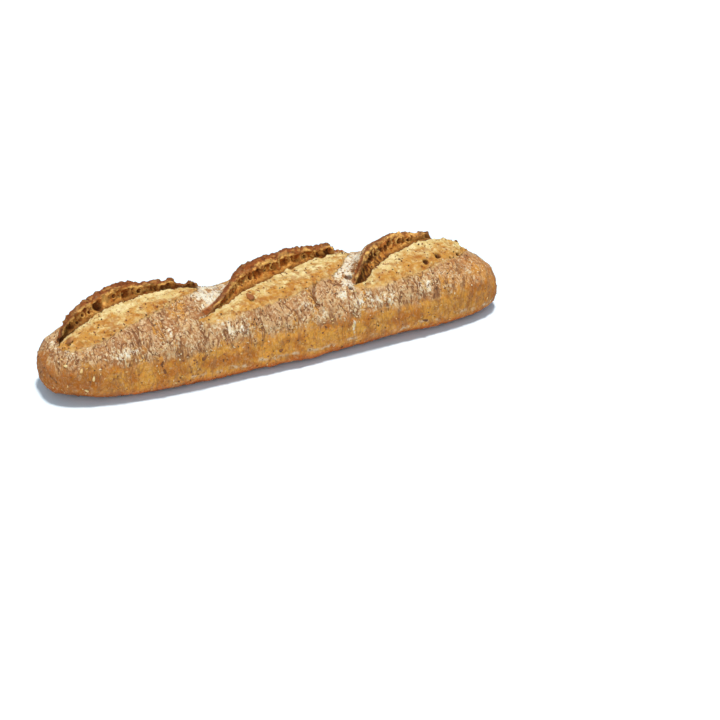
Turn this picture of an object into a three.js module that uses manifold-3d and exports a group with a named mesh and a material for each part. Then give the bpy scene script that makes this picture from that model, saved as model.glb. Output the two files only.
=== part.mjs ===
// A whole multigrain baguette with three slashes that opened in the oven. Millimetres, +Z up.
// The loaf lies along X on its flat base at z = 0, and Y runs across it. Each slash starts on the
// near side (-Y) at its left end and runs over the top to the far side. Beyond the foot of each
// slash stands its ear, a torn flap of crust whose rim leans back, and on the near side of the
// foot lies the bloom, the dough that rose out of the cut. The loaf is one solid.
import * as THREE from "three";
import { mergeVertices } from "three/addons/utils/BufferGeometryUtils.js";
import Module from "manifold-3d";

// ---- the loaf's body ----
const LENGTH = 270;
const WIDTH = 62.3;
const CROWN_HEIGHT = 39.9; // the body's top, without the blooms and the ears
const BELLY_HEIGHT = 13.8; // height at which the loaf is widest
const BASE_SINK = 1.12; // how far the lower half would reach below the floor, which flattens it
const LEFT_END_POWER = 3.1; // superellipse powers: the outline seen from above, left half
const RIGHT_END_POWER = 3.33; // and right half,
const CROWN_POWER = 2.52; // the section above the belly
const BASE_POWER = 3.2; // and the section below it
const CROWN_TAPER = 1.1; // how fast the crown falls towards the two ends
const BASE_TAPER = 0.51; // how fast the underside rises towards the two ends
const SLIMMING = 0.053; // the right end is slimmer than the middle by this share, the left fuller
const SIDE_BEND = 1.88; // the ends lie this far to the near side of the middle,
const SIDE_SWAY = 2.94; // the halves sway to the near side and the far side,
const SIDE_SHIFT = 0.5; // and all of it is shifted so that the loaf lies over the origin
const OUTLINE_STEPS = 4000;
const LEAST_SHARE = 1e-6; // keeps the very tips from having no width

// Gentle swellings and dents: x, angle round the section in degrees, reach along, reach round in
// degrees, height.
const SWELLINGS = [
  [9, 203, 13, 22, 1.3],
  [-60, 148, 16, 22, 0.6],
  [-22, 160, 14, 24, -0.5],
  [36, 156, 16, 24, 0.5],
  [76, 158, 14, 24, -0.5],
  [-62, 12, 26, 26, -0.8],
  [48, 10, 30, 26, 0.5],
  [66, 222, 24, 24, -1.5],
  [-126, 218, 12, 28, -2.2],
  [-25, 58, 16, 28, -3.8],
];

const STATIONS = 62; // sections along the loaf
const CROWN_STEPS = 32; // steps round a section: over the crown,
const FLANK_STEPS = 5; // down each lower flank
const BASE_STEPS = 4; // and across the base
const BASE_EDGE_ANGLE = 0.29 * Math.PI; // where the lower flank meets the base, below the belly

// ---- the slashes, as curves over x: [x, value] ----
// edge is the near edge of the bloom and foot the line where the ear stands, both as y.
// lift is how far the bloom stands at the foot above the body's own crown.
// rim holds [x, lean behind the foot, height of the rim]. landing is where the ear's back, which
// is crust, has come down to the body again, as y.
const SLASHES = [
  {
    edge: [[-127, -7.6], [-121, -13.4], [-110, -16.4], [-98, -15.4], [-85, -11.4], [-70, -7.2],
      [-55, 0.3], [-45, 4.8], [-36.5, 10.7]],
    foot: [[-127, -6.6], [-117.5, 0], [-104.5, 4.2], [-91, 9.4], [-76, 13.2], [-59, 14.9],
      [-46, 14.2], [-36.5, 11.1]],
    lift: [[-127, 0], [-112, 0.5], [-95, 1.5], [-70, 1.5], [-50, 0.5], [-36.5, 0]],
    rim: [[-127, 0.3, 27.5], [-121.5, 1.7, 36.7], [-117.5, 2.7, 40.4], [-112.5, 4.2, 43.2],
      [-106.5, 5.8, 45.4], [-100, 6.9, 46], [-91, 7, 47.4], [-83, 6.3, 47.7], [-76, 5.3, 47.4],
      [-71, 5, 45], [-63, 4.4, 44.5], [-56, 3.5, 42.9], [-52, 3.1, 44.3], [-48, 2.3, 40.8],
      [-44.5, 1.7, 40], [-41.5, 1.3, 42.4], [-39, 1, 40], [-36.5, 0.7, 38]],
    landing: [[-127, -2], [-121, 8], [-112, 18.5], [-100, 24.5], [-85, 27], [-60, 27], [-46, 21],
      [-36.5, 15]],
  },
  {
    edge: [[-51.5, -21.1], [-44.5, -22.5], [-30.5, -21.7], [-14, -19.3], [0, -17.2], [13, -14.1],
      [27, -8.8], [38, -3.9], [45, 3.4], [50, 10.6], [56.5, 18.4]],
    foot: [[-51.5, -20.5], [-40.5, -15.8], [-26.5, -8.8], [-14, 0.2], [0, 5.1], [14, 11], [28, 16.5],
      [43, 19], [56.5, 19.3]],
    lift: [[-51.5, -0.5], [-44, -2], [-30, -2.2], [-14, -1.8], [0, -1.8], [20, -1], [40, 0],
      [56.5, 0]],
    rim: [[-51.5, 0.3, 34.2], [-44.5, 1.5, 36.4], [-38.5, 2.7, 38.5], [-32.5, 3.7, 41.6],
      [-25.5, 5.4, 44.4], [-17.5, 7.7, 47.6], [-7.5, 9, 47.2], [-0.5, 9, 48.4], [7.5, 8.2, 47.1],
      [18, 7.2, 46.7], [28, 5.8, 44.4], [36.5, 4.9, 43], [44.5, 3.8, 43], [47.5, 2.8, 38.2],
      [52.5, 1.7, 37.7], [56.5, 1, 34.5]],
    landing: [[-51.5, -14], [-44, -9], [-36, -4], [-28, 2.5], [-20, 12], [-12, 21], [0, 28],
      [14, 29.7], [28, 30], [45, 28.5], [56.5, 22]],
  },
  {
    edge: [[41, -17.8], [49.5, -19.3], [58.5, -19.2], [68.5, -17.4], [80.5, -15.7], [91.5, -12.5],
      [100.5, -8], [112.5, -3.6], [121, 4.2], [127, 7.6]],
    foot: [[41, -17.3], [50.5, -14.1], [58.5, -7.7], [70.5, 1.3], [82.5, 8], [95.5, 14], [107, 16],
      [117.5, 13], [127, 8.2]],
    lift: [[41, -0.5], [47, -2.2], [53, -2], [62, -0.5], [75, 0.5], [92, 2.2], [104, 4.6],
      [115, 5.4], [121, 4], [127, 0]],
    rim: [[41, 0.4, 34.5], [45, 1.3, 37.5], [48, 2.5, 43.2], [51.5, 3.8, 46.8], [55.5, 6.1, 47.2],
      [60, 7.8, 48.3], [66.5, 8.6, 46.8], [71.5, 9, 45.7], [77.5, 8.2, 46.2], [84.5, 6.9, 44.8],
      [91, 5.5, 42.8], [95.5, 4.4, 40.8], [100.5, 3.1, 40.2], [104, 2.3, 39.3], [106.5, 1.7, 34.8],
      [109, 1.1, 31]],
    landing: [[41, -13], [47, -3], [55, 10], [66, 22], [80, 27.8], [95, 25.8], [106, 22], [109, 20]],
  },
];

const BLOOM_BULGE = 1.1; // how far the middle of a bloom swells above the crown
const SLASH_FADE = 9; // length over which a slash fades out at its ends
const UNDER_EAR_SINK = 0.5; // the body is lower than the bloom under an ear
const LEAST_LANDING = 1; // the least distance from an ear's foot to its landing

// ---- the ears ----
const EAR_STEP = 2.3; // length of one step of an ear's loft
const EAR_TALL = 5; // an ear of this height or more is fully rough, a lower one less
const LIP_SHARE = [0.58, 0.7]; // the lip's share of the ear's lean and height, below the rim
const LIP_OVERHANG = 0.7; // the lip hangs out over the torn face by this much
const TEAR_DEPTH = 1.5; // how far the torn face is hollowed
const RIM_BULGE = 0.5; // the burnt band between lip and rim is rounded by this much
const FACE_SHARES = [0.3, 0.65]; // where the torn face has points, from its foot to its lip
const BACK_STEPS = 6;
const BACK_LENGTH = 2; // the least distance from the rim to where the back has come down
const BACK_SINK = 0.4; // there the back dips this far into the body
const FLANK_SHARE = [0.6, 0.9]; // an ear that lands this far out has a full back, nearer a soft one
const EAR_ROOT = 2.5; // depth by which an ear is rooted in the body,
const ROOT_INSET = 0.55; // and how far its root stays inside its outline
const CRAG = 0.55; // roughness of the torn face and of the rim

// ---- seeds baked into the crust, and pits ----
const SEED_SIDES = [5, 4]; // segments round and along a seed: 30 triangles
const GRAIN_COUNT = 24;
const GRAIN_SIZE = [3.0, 1.8, 1.1]; // length, width and thickness of a common seed
const GRAIN_REACH = 118; // common seeds lie up to this x on both sides
const GRAIN_ANGLES = [0.52 * Math.PI, 0.92 * Math.PI]; // and between these angles round the section,
const GRAIN_STEP = 0.618; // each this share of them on from the last
const GRAIN_SPREAD = 0.15; // and scattered by this share
const GRAIN_SUNK = 0.1; // depth by which a common seed
const LARGE_SEED_SUNK = 0.2; // or a large one is sunk in the crust
const LARGE_SEED_TURN = 0.25;
const FRAME_STEP = 0.5; // distance over which the surface's slope is taken under a seed
// Large seeds: x, angle round the section from the far side over the crown, and their size.
const LARGE_SEEDS = [
  [-118.5, 106, 7, 3.4, 1.8],
  [-16, 111.5, 5, 4.2, 1.9],
  [-112, 168, 3, 2, 1.1],
  [38.5, 162, 3.4, 1.8, 1],
];
// Pits in the bloom where a bubble burst: x, angle round the section, diameter and depth.
const PITS = [
  [91.3, 108, 3.8, 2.6],
  [100.8, 98, 3.4, 2.3],
  [114.8, 89, 2.4, 1.6],
];

const WELD = 1e-4; // points nearer to each other than this are one

const random = seededRandom(7);

/** Returns a generator of repeatable numbers from 0 to 1. */
function seededRandom(seed) {
  let state = seed;
  return () => {
    state = (state * 1664525 + 1013904223) % 4294967296;
    return state / 4294967296;
  };
}

/** A smooth curve through points [x, value, ...]; column picks the value. */
function curveAt(points, x, column = 1) {
  const last = points.length - 1;
  const at = Math.min(Math.max(x, points[0][0]), points[last][0]);
  let i = 0;
  while (i < last - 1 && at > points[i + 1][0]) i += 1;
  const slope = (k) => {
    const a = Math.max(k - 1, 0);
    const b = Math.min(k + 1, last);
    return (points[b][column] - points[a][column]) / (points[b][0] - points[a][0]);
  };
  const span = points[i + 1][0] - points[i][0];
  const t = (at - points[i][0]) / span;
  const t2 = t * t;
  const t3 = t2 * t;
  return (
    (2 * t3 - 3 * t2 + 1) * points[i][column] +
    (t3 - 2 * t2 + t) * span * slope(i) +
    (3 * t2 - 2 * t3) * points[i + 1][column] +
    (t3 - t2) * span * slope(i + 1)
  );
}

/** Rises smoothly from 0 to 1 as t goes from 0 to 1. */
function smooth(t) {
  return THREE.MathUtils.smoothstep(t, 0, 1);
}

/** The loaf's half width at x, as a share of its largest, before the slimming. */
function widthShare(x) {
  const share = Math.min(Math.abs(x) / (LENGTH / 2), 1);
  const power = x < 0 ? LEFT_END_POWER : RIGHT_END_POWER;
  return (1 - share ** power) ** (1 / power);
}

/** How much fuller or slimmer the loaf is at x. */
function fullness(x) {
  return 1 - (SLIMMING * x) / (LENGTH / 2);
}

/** The line across which the loaf is widened, as y. */
function centreLine(x) {
  const along = x / (LENGTH / 2);
  return SIDE_SHIFT - SIDE_BEND * along ** 2 + SIDE_SWAY * (along - along ** 3);
}

/** Places along the loaf at equal steps along its outline. */
function stationPlaces(count) {
  const places = [];
  const lengths = [0];
  for (let i = 0; i <= OUTLINE_STEPS; i += 1) {
    const angle = (Math.PI * i) / OUTLINE_STEPS;
    const power = 2 / (Math.cos(angle) > 0 ? LEFT_END_POWER : RIGHT_END_POWER);
    const across = Math.max(Math.sin(angle), 0) ** power * (WIDTH / 2);
    const along = -Math.sign(Math.cos(angle)) * Math.abs(Math.cos(angle)) ** power * (LENGTH / 2);
    places.push([along, across]);
    if (i > 0) {
      const [x0, y0] = places[i - 1];
      lengths.push(lengths[i - 1] + Math.hypot(along - x0, across - y0));
    }
  }
  const total = lengths[OUTLINE_STEPS];
  const stations = [];
  let j = 0;
  for (let i = 0; i < count; i += 1) {
    const target = (total * i) / (count - 1);
    while (j < OUTLINE_STEPS - 1 && lengths[j + 1] < target) j += 1;
    const t = (target - lengths[j]) / (lengths[j + 1] - lengths[j]);
    stations.push(THREE.MathUtils.lerp(places[j][0], places[j + 1][0], t));
  }
  return stations;
}

/** How far the swellings and dents move the surface outwards at x and an angle round the section. */
function swelling(x, angle) {
  let height = 0;
  for (const [at, degrees, reach, spread, size] of SWELLINGS) {
    const along = (x - at) / reach;
    const turn = THREE.MathUtils.radToDeg(angle) - degrees;
    const round = (THREE.MathUtils.euclideanModulo(turn + 180, 360) - 180) / spread;
    height += size * Math.exp(-along * along - round * round);
  }
  return height;
}

/** The point of the plain body at x and at an angle round its section, 0 at the far side. */
function bodyPoint(x, angle) {
  const share = widthShare(x);
  const c = Math.cos(angle);
  const s = Math.sin(angle);
  const power = s > 0 ? CROWN_POWER : BASE_POWER;
  const radius = (Math.abs(c) ** power + Math.abs(s) ** power) ** (-1 / power);
  const rise =
    s > 0
      ? (CROWN_HEIGHT - BELLY_HEIGHT) * share ** CROWN_TAPER * fullness(x)
      : BELLY_HEIGHT * BASE_SINK * share ** BASE_TAPER;
  const swell = swelling(x, angle);
  const y = centreLine(x) + ((WIDTH / 2) * share * fullness(x) * radius + swell) * c;
  const z = BELLY_HEIGHT + (rise * radius + swell) * s;
  return new THREE.Vector3(x, y, Math.max(z, 0));
}

/** The height of the plain body's crown over x, y. */
function crownHeight(x, y) {
  const share = Math.max(widthShare(x), LEAST_SHARE);
  const aside = (y - centreLine(x)) / ((WIDTH / 2) * share * fullness(x));
  const across = THREE.MathUtils.clamp(aside, -1, 1);
  const up = (1 - Math.abs(across) ** CROWN_POWER) ** (1 / CROWN_POWER);
  const angle = Math.atan2(up, across);
  const rise = (CROWN_HEIGHT - BELLY_HEIGHT) * share ** CROWN_TAPER * fullness(x) * up;
  return BELLY_HEIGHT + rise + swelling(x, angle) * Math.sin(angle);
}

/** How far the opened slashes raise or sink the crown at x, y. */
function slashRelief(x, y) {
  let relief = 0;
  for (const slash of SLASHES) {
    const start = slash.edge[0][0];
    const end = slash.edge[slash.edge.length - 1][0];
    if (x <= start || x >= end) continue;
    const fade = smooth((x - start) / SLASH_FADE) * smooth((end - x) / SLASH_FADE);
    const edge = curveAt(slash.edge, x);
    const foot = curveAt(slash.foot, x);
    const lift = curveAt(slash.lift, x);
    const landing = Math.max(curveAt(slash.landing, x), foot + LEAST_LANDING);
    if (y > edge && y <= foot) {
      const t = (y - edge) / (foot - edge);
      relief += fade * (BLOOM_BULGE * Math.sin(Math.PI * t) + lift * t * t);
    } else if (y > foot && y < landing) {
      const t = (y - foot) / (landing - foot);
      relief += fade * (lift * (1 - t) ** 3 - UNDER_EAR_SINK * Math.sin(Math.PI * t));
    }
  }
  return relief;
}

/** The loaf's surface without ears, at x and an angle round the section. */
function loafPoint(x, angle) {
  const point = bodyPoint(x, angle);
  if (Math.sin(angle) > 0) point.z += slashRelief(point.x, point.y);
  return point;
}

/** The angles of the points round a section, from the far side over the crown and back below. */
function sectionAngles() {
  const angles = [];
  const add = (from, to, steps) => {
    for (let i = 0; i < steps; i += 1) angles.push(from + ((to - from) * i) / steps);
  };
  add(0, Math.PI, CROWN_STEPS);
  add(Math.PI, Math.PI + BASE_EDGE_ANGLE, FLANK_STEPS);
  add(Math.PI + BASE_EDGE_ANGLE, 2 * Math.PI - BASE_EDGE_ANGLE, BASE_STEPS);
  add(2 * Math.PI - BASE_EDGE_ANGLE, 2 * Math.PI, FLANK_STEPS);
  return angles;
}

/** A closed geometry through rings of equal length, with a fan on the first and the last. */
function loft(rings) {
  const count = rings[0].length;
  const positions = [];
  const index = [];
  for (const ring of rings) for (const point of ring) positions.push(point.x, point.y, point.z);
  for (let i = 0; i < rings.length - 1; i += 1) {
    for (let j = 0; j < count; j += 1) {
      const a = i * count + j;
      const b = i * count + ((j + 1) % count);
      index.push(a, b, b + count, a, b + count, a + count);
    }
  }
  for (const [ring, turned] of [[0, true], [rings.length - 1, false]]) {
    const hub = positions.length / 3;
    const middle = new THREE.Vector3();
    for (const point of rings[ring]) middle.addScaledVector(point, 1 / count);
    positions.push(middle.x, middle.y, middle.z);
    for (let j = 0; j < count; j += 1) {
      const a = ring * count + j;
      const b = ring * count + ((j + 1) % count);
      index.push(...(turned ? [hub, b, a] : [hub, a, b]));
    }
  }
  const geometry = new THREE.BufferGeometry();
  geometry.setAttribute("position", new THREE.Float32BufferAttribute(positions, 3));
  geometry.setIndex(index);
  return geometry;
}

/** The body with its blooms, as one closed geometry. */
function loafGeometry() {
  const angles = sectionAngles();
  const stations = stationPlaces(STATIONS).slice(1, -1);
  return loft(stations.map((x) => angles.map((angle) => loafPoint(x, angle))));
}

/** The share of an ear's height that is left on its back at t, from its rim to its landing. */
function backShare(t, outward) {
  const full = (1 - t) * (1 + t / 2);
  const soft = 1 - smooth(t);
  return THREE.MathUtils.lerp(soft, full, THREE.MathUtils.smoothstep(outward, ...FLANK_SHARE));
}

/** The section of an ear at x, from its root under the bloom, up its torn face and down its back. */
function earSection(slash, x) {
  const crag = () => CRAG * (random() - 0.5) * 2;
  const foot = new THREE.Vector2(curveAt(slash.foot, x), 0);
  foot.y = crownHeight(x, foot.x) + curveAt(slash.lift, x);
  const rim = new THREE.Vector2(foot.x + curveAt(slash.rim, x, 1), curveAt(slash.rim, x, 2));
  const tall = Math.max(rim.y - foot.y, 0);
  const rough = smooth(tall / EAR_TALL);
  const lip = new THREE.Vector2(
    foot.x + (rim.x - foot.x) * LIP_SHARE[0] - LIP_OVERHANG * rough,
    foot.y + (rim.y - foot.y) * LIP_SHARE[1],
  );
  const points = [new THREE.Vector2(foot.x + ROOT_INSET, foot.y - EAR_ROOT), foot];
  for (const t of FACE_SHARES) {
    const point = foot.clone().lerp(lip, t);
    point.x += (TEAR_DEPTH * Math.sin(Math.PI * t) + crag()) * rough;
    points.push(point);
  }
  points.push(lip);
  const band = lip.clone().lerp(rim, 0.5);
  band.x -= RIM_BULGE * rough;
  band.y += (RIM_BULGE + crag() / 2) * rough;
  points.push(band);
  rim.y += crag() * rough;
  points.push(rim);
  const landing = Math.max(curveAt(slash.landing, x), rim.x + BACK_LENGTH);
  const above = rim.y - crownHeight(x, rim.x);
  const halfWidth = (WIDTH / 2) * widthShare(x) * fullness(x);
  const outward = (landing - centreLine(x)) / halfWidth;
  for (let i = 1; i <= BACK_STEPS; i += 1) {
    const t = i / BACK_STEPS;
    const y = THREE.MathUtils.lerp(rim.x, landing, t);
    const sink = i === BACK_STEPS ? BACK_SINK : 0;
    points.push(new THREE.Vector2(y, crownHeight(x, y) + above * backShare(t, outward) - sink));
  }
  points.push(new THREE.Vector2(landing - ROOT_INSET, crownHeight(x, landing) - EAR_ROOT));
  return points.map((point) => new THREE.Vector3(x, point.x, point.y));
}

/** An ear as a closed geometry along its slash. */
function earGeometry(slash) {
  const start = slash.rim[0][0];
  const end = slash.rim[slash.rim.length - 1][0];
  const steps = Math.round((end - start) / EAR_STEP);
  const rings = [];
  for (let i = 0; i <= steps; i += 1) {
    rings.push(earSection(slash, THREE.MathUtils.lerp(start, end, i / steps)));
  }
  return loft(rings.reverse());
}

/** A round body at a place on the loaf's surface, its long axis turned by spin from the loaf's. */
function surfaceBlob(x, angle, size, spin, sunk) {
  const here = loafPoint(x, angle);
  const along = loafPoint(x + FRAME_STEP, angle).sub(here).normalize();
  const round = loafPoint(x, angle + FRAME_STEP / (WIDTH / 2)).sub(here);
  const normal = along.clone().cross(round).normalize();
  const frame = new THREE.Matrix4().makeBasis(along, normal.clone().cross(along), normal);
  const geometry = new THREE.SphereGeometry(1, ...SEED_SIDES);
  geometry.scale(size[0] / 2, size[1] / 2, size[2] / 2);
  geometry.rotateZ(spin);
  geometry.applyMatrix4(frame.setPosition(here.addScaledVector(normal, -sunk)));
  return geometry;
}

/** The common seeds, spread evenly over the crown and the near flank, then the large ones. */
function seedGeometries() {
  const blobs = [];
  for (let i = 0; i < GRAIN_COUNT; i += 1) {
    const x = THREE.MathUtils.lerp(-GRAIN_REACH, GRAIN_REACH, (i + random()) / GRAIN_COUNT);
    const share = (i * GRAIN_STEP + GRAIN_SPREAD * random()) % 1;
    const angle = THREE.MathUtils.lerp(...GRAIN_ANGLES, share);
    blobs.push(surfaceBlob(x, angle, GRAIN_SIZE, Math.PI * random(), GRAIN_SUNK));
  }
  for (const [x, degrees, ...size] of LARGE_SEEDS) {
    const angle = THREE.MathUtils.degToRad(degrees);
    blobs.push(surfaceBlob(x, angle, size, LARGE_SEED_TURN, LARGE_SEED_SUNK));
  }
  return blobs;
}

/** The round bodies that cut the pits. */
function pitGeometries() {
  return PITS.map(([x, degrees, across, deep]) =>
    surfaceBlob(x, THREE.MathUtils.degToRad(degrees), [across, across, 2 * deep], 0, 0),
  );
}

/** Turns a closed geometry into a solid that can be joined and cut. */
function toSolid(wasm, geometry) {
  geometry.deleteAttribute("normal");
  geometry.deleteAttribute("uv");
  const merged = mergeVertices(geometry, WELD);
  return new wasm.Manifold(
    new wasm.Mesh({
      numProp: 3,
      vertProperties: new Float32Array(merged.attributes.position.array),
      triVerts: new Uint32Array(merged.index.array),
    }),
  );
}

/** Turns a solid back into a geometry. */
function toGeometry(solid) {
  const mesh = solid.getMesh();
  const geometry = new THREE.BufferGeometry();
  geometry.setAttribute("position", new THREE.Float32BufferAttribute(mesh.vertProperties, 3));
  geometry.setIndex(new THREE.Uint32BufferAttribute(mesh.triVerts, 1));
  geometry.computeVertexNormals();
  return geometry;
}

const wasm = await Module();
wasm.setup();
let loaf = toSolid(wasm, loafGeometry());
for (const slash of SLASHES) loaf = loaf.add(toSolid(wasm, earGeometry(slash)));
for (const pit of pitGeometries()) loaf = loaf.subtract(toSolid(wasm, pit));
for (const seed of seedGeometries()) loaf = loaf.add(toSolid(wasm, seed));

const crust = new THREE.MeshStandardMaterial({ color: 0xc0813c, roughness: 0.78, metalness: 0 });
const baguette = new THREE.Mesh(toGeometry(loaf), crust);
baguette.name = "baguette";

const loafGroup = new THREE.Group();
loafGroup.add(baguette);
export default loafGroup;
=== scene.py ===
"""A whole multigrain baguette with three opened slashes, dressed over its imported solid.

The loaf's form is worked out in millimetres from the same named sizes as the solid and is turned
into metres when a mesh is made. X runs along the loaf, Y across it and Z up, with the flat base
on the floor. The near side is -Y.
"""

import logging
import math
from dataclasses import dataclass, field, fields
from enum import Enum, IntEnum
from typing import Sequence

import bpy
import numpy as np
from mathutils import Matrix, Vector


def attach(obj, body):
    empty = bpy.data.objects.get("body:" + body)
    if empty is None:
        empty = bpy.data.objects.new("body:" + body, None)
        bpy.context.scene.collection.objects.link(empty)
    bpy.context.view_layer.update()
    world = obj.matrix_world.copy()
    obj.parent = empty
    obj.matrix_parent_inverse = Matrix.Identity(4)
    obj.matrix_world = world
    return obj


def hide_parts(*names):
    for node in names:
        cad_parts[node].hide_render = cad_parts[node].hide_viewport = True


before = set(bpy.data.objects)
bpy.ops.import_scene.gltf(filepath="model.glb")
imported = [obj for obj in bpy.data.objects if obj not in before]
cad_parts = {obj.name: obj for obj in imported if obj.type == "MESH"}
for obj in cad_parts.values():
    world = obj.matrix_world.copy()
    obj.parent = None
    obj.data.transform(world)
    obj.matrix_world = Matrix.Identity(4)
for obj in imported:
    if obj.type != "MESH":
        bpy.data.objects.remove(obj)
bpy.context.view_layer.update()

MM = 0.001
NODE = "baguette"
BODY = "root"
log = logging.getLogger("baguette")

Array = np.ndarray
CurvePoints = Sequence[tuple[float, float]]
Pair = tuple[float, float]  # the two ends of a rise, or a place and a reach
Triple = tuple[float, float, float]
Colour = tuple[float, float, float, float]
Socket = bpy.types.NodeSocket


# ---------------------------------------------------------------- helpers


def smooth(t: Array) -> Array:
    """Rises smoothly from 0 to 1 as t goes from 0 to 1."""
    t = np.clip(t, 0.0, 1.0)
    return t * t * (3.0 - 2.0 * t)


def between(low: float, high: float, value: Array) -> Array:
    """Rises smoothly from 0 at low to 1 at high; low may be above high."""
    return smooth((value - low) / (high - low))


def hill(value: Array, middle: Array | float, reach: float) -> Array:
    """A bell of height 1 round middle that has all but gone at twice its reach."""
    return np.exp(-(((value - middle) / reach) ** 2))


def mix(a: Array | float, b: Array | float, share: Array) -> Array:
    """Blends from a to b as share goes from 0 to 1."""
    return a + (b - a) * share


def curve_at(points: CurvePoints, x: Array) -> Array:
    """Follows a smooth curve through given points.

    Args:
        points: (x, value) pairs in rising order of x.
        x: places at which the curve is wanted.

    Returns:
        The curve's values, held at its end values beyond its ends.
    """
    table = np.array(points, float)
    px, py = table[:, 0], table[:, 1]
    slope = np.empty(len(px))
    slope[1:-1] = (py[2:] - py[:-2]) / (px[2:] - px[:-2])
    slope[0] = (py[1] - py[0]) / (px[1] - px[0])
    slope[-1] = (py[-1] - py[-2]) / (px[-1] - px[-2])
    at = np.clip(x, px[0], px[-1])
    i = np.clip(np.searchsorted(px, at, side="right") - 1, 0, len(px) - 2)
    span = px[i + 1] - px[i]
    t = (at - px[i]) / span
    t2, t3 = t * t, t * t * t
    return (
        (2 * t3 - 3 * t2 + 1) * py[i]
        + (t3 - 2 * t2 + t) * span * slope[i]
        + (3 * t2 - 2 * t3) * py[i + 1]
        + (t3 - t2) * span * slope[i + 1]
    )


# ---------------------------------------------------------------- noise

CELL_STEPS = (374761393, 668265263, 2246822519)  # odd numbers that spread the lattice cells
SALT_STEP = 3266489917
SEED_STEP = 974634777
STIRS = ((15, 2654435761), (13, 1274126177))  # shift and factor of each stir
LAST_SHIFT = 16
TOP_NUMBER = 0xFFFFFF
LATTICE_SHIFT = 512.0  # keeps every cell's number above 0
LAYER_SEEDS = 17  # from one layer's seed to the next
LAYER_SHARE = 0.55  # each layer's height as a share of the last
FAR_AWAY = 9.0  # farther, in cells, than any cell's centre can be
VALUE_SALT = 1
CENTRE_SALTS = (2, 3, 4)  # one for each axis
LABEL_SALT = 5


class Lot(IntEnum):
    """The seed of each noise that shapes the loaf."""

    WRINKLES = 3
    WRINKLE_GAPS = 4
    ROUGH_SKIN = 5
    WAVES = 6
    LUMPS = 7
    CRUMB = 8
    LIP_CHIPS = 9
    GRIT = 10
    WARP_X = 11
    WARP_Y = 12
    WARP_Z = 13
    CRAGS = 14
    PIT_EDGES = 15
    CRACK_SIDES = 16
    SEAM_ENDS = 17
    SEAM_LEVEL = 18
    SEAM_GAPS = 19
    BLISTERS = 21
    SCALLOPS = 22
    ARCHES = 23
    CAVES = 24
    BRIM = 25
    FLOUR = 31
    BORDER_WAVES = 33
    BORDER_GRAIN = 34
    BLOOM_EDGE = 41
    BRIM_DRIFT = 42


@dataclass(frozen=True)
class Grain:
    """Repeatable three-dimensional noise over points in millimetres."""

    seed: int = 1

    def _hash(self, cell: Array, salt: int) -> Array:
        """A number from 0 to 1 for each lattice cell and salt.

        Args:
            cell: the lattice cells, one row each.
            salt: tells apart the numbers that one cell has.

        Returns:
            The numbers, one for each cell.
        """
        key = np.full(cell.shape[:-1], salt * SALT_STEP + self.seed * SEED_STEP, np.uint64)
        for axis, step in enumerate(CELL_STEPS):
            key += cell[..., axis].astype(np.uint64) * np.uint64(step)
        for shift, factor in STIRS:
            key = (key ^ (key >> np.uint64(shift))) * np.uint64(factor)
        return ((key >> np.uint64(LAST_SHIFT)) & np.uint64(TOP_NUMBER)).astype(float) / TOP_NUMBER

    def value(self, points: Array, size: float | Sequence[float]) -> Array:
        """Smooth noise from -1 to 1 whose lumps have the given size.

        Args:
            points: where it is wanted, one row each.
            size: the lumps' size, or one for each axis.

        Returns:
            The noise at each point.
        """
        p = points / np.array(size, float) + LATTICE_SHIFT
        cell = np.floor(p)
        f = p - cell
        f = f * f * f * (f * (f * 6 - 15) + 10)
        total = np.zeros(len(points))
        for corner in range(8):
            offset = np.array([corner & 1, corner >> 1 & 1, corner >> 2 & 1], float)
            weight = np.prod(np.where(offset > 0, f, 1 - f), axis=1)
            total += weight * self._hash(cell + offset, VALUE_SALT)
        return total * 2 - 1

    def layers(self, points: Array, size: float | Sequence[float], count: int = 3) -> Array:
        """Noise with count layers, each half the size and about half the height of the last.

        Args:
            points: where it is wanted, one row each.
            size: the size of the largest lumps, or one for each axis.
            count: how many layers are added up.

        Returns:
            The noise at each point, a little beyond -1 to 1.
        """
        total = np.zeros(len(points))
        height = 1.0
        for i in range(count):
            layer = Grain(self.seed + LAYER_SEEDS * i)
            total += height * layer.value(points, np.array(size, float) / 2**i)
            height *= LAYER_SHARE
        return total

    def cells(self, points: Array, size: float | Sequence[float]) -> tuple[Array, Array, Array]:
        """Splits space into irregular cells.

        Args:
            points: where the cells are looked up, one row each.
            size: the cells' usual size, or one for each axis.

        Returns:
            The distance to the nearest cell centre, the distance to the second nearest, and a
            number from 0 to 1 that belongs to the nearest cell.
        """
        p = points / np.array(size, float) + LATTICE_SHIFT
        cell = np.floor(p)
        first = np.full(len(points), FAR_AWAY)
        second = np.full(len(points), FAR_AWAY)
        label = np.zeros(len(points))
        for corner in np.ndindex(3, 3, 3):
            near = cell + (np.array(corner, float) - 1)
            centre = near + np.stack([self._hash(near, salt) for salt in CENTRE_SALTS], axis=-1)
            distance = np.linalg.norm(p - centre, axis=1)
            closer = distance < first
            second = np.where(closer, first, np.minimum(second, distance))
            label = np.where(closer, self._hash(near, LABEL_SALT), label)
            first = np.minimum(first, distance)
        return first, second, label


# ---------------------------------------------------------------- the loaf's form

FLOOR = 0.05  # points below this height belong to the flat base


@dataclass
class Marks:
    """What lies at each point of the surface, each from 0 to 1.

    bloom is the crumb bared beside an ear, and across is the way over it towards the ear. torn is
    an ear's torn face and rise the way up it. brim is the raised edge that ends the face, painted
    bright as a highlight, band the burnt rim above it and top the rim's crest. crevice is the foot
    of an ear, where painted shade darkens it, flap its back, and lip a bloom's raised near edge.
    """

    bloom: Array
    across: Array
    torn: Array
    band: Array
    crevice: Array
    flap: Array
    lip: Array
    rise: Array
    brim: Array
    top: Array

    @staticmethod
    def blank(count: int) -> "Marks":
        """Marks of zero for count points."""
        return Marks(*(np.zeros(count) for _ in fields(Marks)))


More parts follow.
